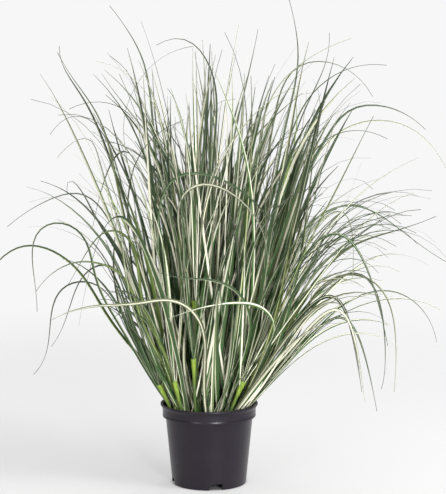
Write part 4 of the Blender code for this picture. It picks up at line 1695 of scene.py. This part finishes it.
@dataclass(frozen=True)
class CupTuft:
    """The blades that fan out of one cup, drawn to a narrow neck inside it.

    Attributes:
        cup: the stem.
        kind: the printed pattern.
        count: number of blades.
    """

    cup: StemCup
    kind: BladeKind
    count: int = 10

    BEND_DEG = Spread(8.0, 80.0)
    POWER = Spread(1.8, 3.2)
    LENGTH = Spread(0.24, 0.44)
    WIDTH = Spread(0.0034, 0.0052)
    SWAY_DEG = 16.0
    STRAIGHTEN = 0.55
    NECK = 0.35
    TAPER = 2.4
    ROOT_DEPTH = 0.8  # how deep in the cup the roots lie, as a share of the cup's depth
    ROOT_SCATTER = 0.32  # how far from its middle, as a share of the cup's radius

    def build(self, level: float, noise: np.random.Generator) -> bpy.types.Object:
        """Grow the tuft and dress it.

        Args:
            level: height of the filling's surface.
            noise: random numbers.

        Returns:
            The piece.
        """
        cup, count = self.cup, self.count
        foot, along, length = cup.axis(level)
        start = foot + (length - self.ROOT_DEPTH * cup.CUP_DEPTH) * along
        scatter = noise.normal(size=(count, 3)).clip(-1.2, 1.2) * (1, 1, 0.3)
        roots = start + (cup.radius * self.ROOT_SCATTER) * scatter
        way = unit(along + math.radians(cup.spread_deg) * noise.normal(size=(count, 3)))
        lines = grown_lines(
            roots,
            np.arccos(way[:, 2].clip(-1.0, 1.0)),
            np.arctan2(way[:, 1], way[:, 0]),
            np.radians(self.BEND_DEG.draw(count, noise)),
            self.POWER.draw(count, noise),
            self.LENGTH.draw(count, noise),
            np.radians(self.SWAY_DEG) * noise.normal(size=count),
            self.STRAIGHTEN,
            noise,
        )
        name = f"tuft_{cup.name}"
        return planted_strips(name, self.kind, lines, self.WIDTH, self.NECK, self.TAPER, noise)


BUNCHES = (
    BladeBunch(
        "bunch_core_cream", BladeKind.CREAM, 112, Spread(0.0, 0.050), Spread(1.0, 23.0),
        Spread(0.0, 52.0), Spread(1.6, 3.6), Spread(0.33, 0.59), Spread(0.0054, 0.0086), taper=5.0,
    ),
    BladeBunch(
        "bunch_core_green", BladeKind.GREEN, 76, Spread(0.0, 0.050), Spread(1.0, 23.0),
        Spread(0.0, 52.0), Spread(1.6, 3.6), Spread(0.33, 0.59), Spread(0.0054, 0.0088), taper=5.2,
    ),
    BladeBunch(
        "bunch_inner_green", BladeKind.GREEN, 34, Spread(0.0, 0.052), Spread(2.0, 32.0),
        Spread(0.0, 30.0), Spread(1.5, 2.5), Spread(0.18, 0.36), Spread(0.0052, 0.0080),
    ),
    BladeBunch(
        "bunch_inner_cream", BladeKind.CREAM, 30, Spread(0.010, 0.054), Spread(2.0, 32.0),
        Spread(0.0, 30.0), Spread(1.5, 2.5), Spread(0.18, 0.38), Spread(0.0050, 0.0076),
    ),
    BladeBunch(
        "bunch_core_olive", BladeKind.OLIVE, 22, Spread(0.006, 0.050), Spread(4.0, 28.0),
        Spread(0.0, 70.0), Spread(2.0, 4.0), Spread(0.38, 0.56), Spread(0.0044, 0.0068), taper=4.0,
    ),
    BladeBunch(
        "bunch_arch_green", BladeKind.GREEN, 14, Spread(0.012, 0.052), Spread(10.0, 30.0),
        Spread(50.0, 115.0), Spread(2.6, 4.6), Spread(0.38, 0.52), Spread(0.0030, 0.0052),
    ),
    BladeBunch(
        "bunch_arch_right", BladeKind.GREEN, 32, Spread(0.022, 0.050), Spread(20.0, 30.0),
        Spread(80.0, 120.0), Spread(2.6, 3.8), Spread(0.40, 0.52), Spread(0.0026, 0.0042),
        Spread(-48.0, 48.0), sway_deg=12.0, straighten=0.3,
    ),
    BladeBunch(
        "bunch_low_right", BladeKind.CREAM, 17, Spread(0.030, 0.046), Spread(30.0, 44.0),
        Spread(60.0, 110.0), Spread(2.6, 4.0), Spread(0.28, 0.42), Spread(0.0046, 0.0068),
        Spread(-62.0, 52.0), sway_deg=14.0, straighten=0.25, scatter_deg=14.0,
    ),
    BladeBunch(
        "bunch_low_round", BladeKind.GREEN, 22, Spread(0.030, 0.046), Spread(24.0, 38.0),
        Spread(50.0, 110.0), Spread(2.6, 4.0), Spread(0.24, 0.36), Spread(0.0044, 0.0068),
        straighten=0.45, scatter_deg=14.0,
    ),
    BladeBunch(
        "bunch_fine_green", BladeKind.GREEN, 26, Spread(0.0, 0.052), Spread(2.0, 26.0),
        Spread(15.0, 110.0), Spread(2.0, 4.4), Spread(0.46, 0.64), Spread(0.0032, 0.0048),
        sway_deg=50.0,
    ),
    BladeBunch(
        "bunch_fine_olive", BladeKind.OLIVE, 20, Spread(0.0, 0.052), Spread(2.0, 26.0),
        Spread(15.0, 110.0), Spread(2.0, 4.4), Spread(0.44, 0.62), Spread(0.0030, 0.0046),
        sway_deg=50.0,
    ),
    BladeBunch(
        "bunch_lime", BladeKind.LIME, 7, Spread(0.010, 0.048), Spread(4.0, 24.0),
        Spread(5.0, 60.0), Spread(1.8, 3.0), Spread(0.34, 0.52), Spread(0.0036, 0.0056),
    ),
)


# ---------------------------------------------------------------- studio
@dataclass
class Studio:
    """Pale floor that fades into the backdrop's colour, soft lights and the camera.

    Attributes:
        backdrop: colour of the backdrop.
        floor: colour of the floor's surface, under the lights.
        floor_glow: light of the floor itself, an opal sheet lit from below, which keeps shadows soft.
        floor_radius: where the floor ends.
        fade_from: distance at which the floor begins to fade into the backdrop.
        fade_to: distance at which it is gone.
        contact_shadow_radii: radii between which the floor's glow comes on, about the edge of the pot's foot;
            the dark inside them is a painted contact shadow.
        ambient: share of the backdrop's light that falls on the clump.
        lens: focal length of the camera in millimetres.
        camera_place: where the camera stands.
        camera_tilt_deg: how far it looks down.
        aim: the point that the lights look at.
    """

    backdrop: str = "#f7f7f7"
    floor: str = "#929292"
    floor_glow: float = 0.40
    floor_radius: float = 2.6
    fade_from: float = 0.75
    fade_to: float = 1.9
    contact_shadow_radii: tuple[float, float] = (0.050, 0.063)
    ambient: float = 0.24
    lens: float = 120.3
    camera_place: tuple[float, float, float] = (0.0213, -2.5, 0.655)
    camera_tilt_deg: float = 6.61
    aim: tuple[float, float, float] = (0.0, 0.0, 0.30)

    FLOOR_SIDES = 96
    FLOOR_DROP = 0.2 * MM  # how far the floor lies below the pot's foot

    def build(self) -> None:
        """Make the floor, the lights, the world and the camera."""
        self.build_floor()
        self.build_world()
        self.add_softbox("key", (1.60, -0.85, 1.80), (0.9, 0.9), 50.0)
        self.add_softbox("front_strip", (0.75, -2.35, 0.62), (0.36, 1.1), 56.0)
        self.add_softbox("left_strip", (-1.2, -2.1, 0.70), (0.30, 1.1), 16.0)
        self.add_softbox("top", (0.15, -0.25, 2.4), (2.2, 2.2), 32.0)
        self.add_softbox("back", (0.9, 1.9, 1.7), (1.4, 1.4), 32.0)
        self.add_softbox("back_left", (-1.7, 1.3, 1.3), (1.2, 1.2), 18.0)
        self.build_camera()

    def build_floor(self) -> None:
        """A disc of points r (cos a, sin a) on z = 0, of lit opal sheet that fades out towards its edge."""
        angle = np.linspace(0.0, math.tau, self.FLOOR_SIDES, endpoint=False)
        ring = np.column_stack([np.cos(angle), np.sin(angle), 0.0 * angle]) * self.floor_radius
        mesh = bpy.data.meshes.new("studio_floor")
        mesh.from_pydata((ring - (0.0, 0.0, self.FLOOR_DROP)).tolist(), [], [tuple(range(self.FLOOR_SIDES))])
        material, tree, shader = new_material("opal_floor")
        add = partial(add_node, tree)
        opal = {"Base Color": linear(self.floor), "Roughness": 0.9, "Specular IOR Level": 0.1}
        feed(tree, shader, {**opal, "Emission Color": linear("#ffffff")})
        place = add("ShaderNodeTexCoord")
        far = add("ShaderNodeVectorMath", {0: place.outputs["Object"]}, operation="LENGTH")
        fade = add(
            "ShaderNodeMapRange",
            {
                "Value": far.outputs["Value"],
                "From Min": self.fade_from,
                "From Max": self.fade_to,
                "To Min": 1.0,
                "To Max": 0.0,
            },
            interpolation_type="SMOOTHSTEP",
        )
        # The sheet is dark under the pot, so that no light comes out through the drain notches, and in a ring
        # a few millimetres wide round its foot, which is a painted contact shadow.
        glow = add(
            "ShaderNodeMapRange",
            {
                "Value": far.outputs["Value"],
                "From Min": self.contact_shadow_radii[0],
                "From Max": self.contact_shadow_radii[1],
                "To Max": self.floor_glow,
            },
            interpolation_type="SMOOTHSTEP",
        )
        feed(tree, shader, {"Alpha": fade, "Emission Strength": glow})
        link_mesh("studio_floor", mesh, material)

    def build_world(self) -> None:
        """A backdrop of even colour, whose light on the clump is dimmer than the backdrop itself."""
        world = bpy.data.worlds.new("studio")
        world.use_nodes = True
        tree = world.node_tree
        add = partial(add_node, tree)
        shown = tree.nodes["Background"]
        shown.inputs["Color"].default_value = linear(self.backdrop)
        ambient = add("ShaderNodeBackground", {"Color": linear(self.backdrop), "Strength": self.ambient})
        path = add("ShaderNodeLightPath")
        both = add("ShaderNodeMixShader", {0: path.outputs["Is Camera Ray"], 1: ambient, 2: shown})
        tree.links.new(both.outputs[0], tree.nodes["World Output"].inputs["Surface"])
        bpy.context.scene.world = world
        bpy.context.scene.view_settings.view_transform = "Standard"

    def add_softbox(
        self, name: str, place: tuple[float, float, float], size: tuple[float, float], watts: float
    ) -> None:
        """Add an area light that looks at the middle of the clump.

        Args:
            name: light name.
            place: where it hangs.
            size: its width and height.
            watts: power.
        """
        data = bpy.data.lights.new(name, "AREA")
        data.shape = "RECTANGLE"
        data.size, data.size_y = size
        data.energy = watts
        light = bpy.data.objects.new(name, data)
        light.location = place
        light.visible_camera = False
        light.rotation_euler = (Vector(self.aim) - light.location).to_track_quat("-Z", "Y").to_euler()
        bpy.context.collection.objects.link(light)

    def build_camera(self) -> None:
        """A long lens in front of the clump, looking slightly down."""
        data = bpy.data.cameras.new("camera")
        data.lens = self.lens
        camera = bpy.data.objects.new("camera", data)
        camera.location = self.camera_place
        camera.rotation_euler = (math.radians(90.0 - self.camera_tilt_deg), 0.0, 0.0)
        bpy.context.collection.objects.link(camera)
        bpy.context.scene.camera = camera


# ---------------------------------------------------------------- making
FINISHES = {kind.value: finish.make() for kind, finish in BLADE_FINISHES.items()}
FINISHES["stem_plastic"] = MouldedPolyethylene().make()
TUFT_KINDS = (BladeKind.CREAM, BladeKind.GREEN)
SEED = 7
FILLING_GAP = 0.0003  # between the filling and the wall
FRONT_Y = -0.04  # a cup with its mouth nearer to the front than this stays clear
CLEAR_LENGTH = 0.030  # length of a cup, down from its lip, that stays clear
CUP_ROOM = 0.0035
BLADE_ROOM = 0.0045
PATH_POINTS = 90
CLEAR_FROM = 36  # point of a front blade from which it stays clear


def shown_paths(level: float) -> list[ShownPath]:
    """The front cups and front blades that other blades leave clear.

    Args:
        level: height of the filling's surface.

    Returns:
        One path for each.
    """
    paths = []
    for cup in STEM_CUPS:
        if cup.mouth[1] < FRONT_Y:
            foot, along, length = cup.axis(level)
            height = np.linspace(max(length - CLEAR_LENGTH, 0.0), length, 8)[:, None]
            paths.append(ShownPath(foot + height * along, cup.radius + CUP_ROOM))
    for blade in SHAPED_BLADES:
        if blade.name.startswith("front_"):
            line = at_stations(bent_strip(blade.points(level)), PATH_POINTS)
            paths.append(ShownPath(line[CLEAR_FROM:], BLADE_ROOM))
    return paths


def main() -> None:
    """Build the pot, the filling, the cups with their tufts, every blade and the studio."""
    logging.basicConfig(level=logging.INFO, format="%(name)s %(message)s")
    noise = np.random.default_rng(SEED)
    pot_box, filling_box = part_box("pot"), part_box("filling")
    level = filling_box[1].z
    pot = NurseryPot(rim_radius=pot_box[1].x, rim_top=pot_box[1].z)
    report(pot.build())
    filling = CastFilling(
        radius=filling_box[1].x,
        bottom=filling_box[0].z,
        top=level,
        foot_radius=pot.wall_radius(filling_box[0].z) - pot.wall - FILLING_GAP,
    )
    report(filling.build(noise))
    for index, cup in enumerate(STEM_CUPS):
        report(cup.build(level, noise))
        report(CupTuft(cup, TUFT_KINDS[index % len(TUFT_KINDS)]).build(level, noise))
    for piece in SingleBlades(level).build(noise):
        report(piece)
    shown = shown_paths(level)
    for bunch in BUNCHES:
        report(bunch.build(level, shown, noise))
    Studio().build()


if __name__ == "__main__":
    main()
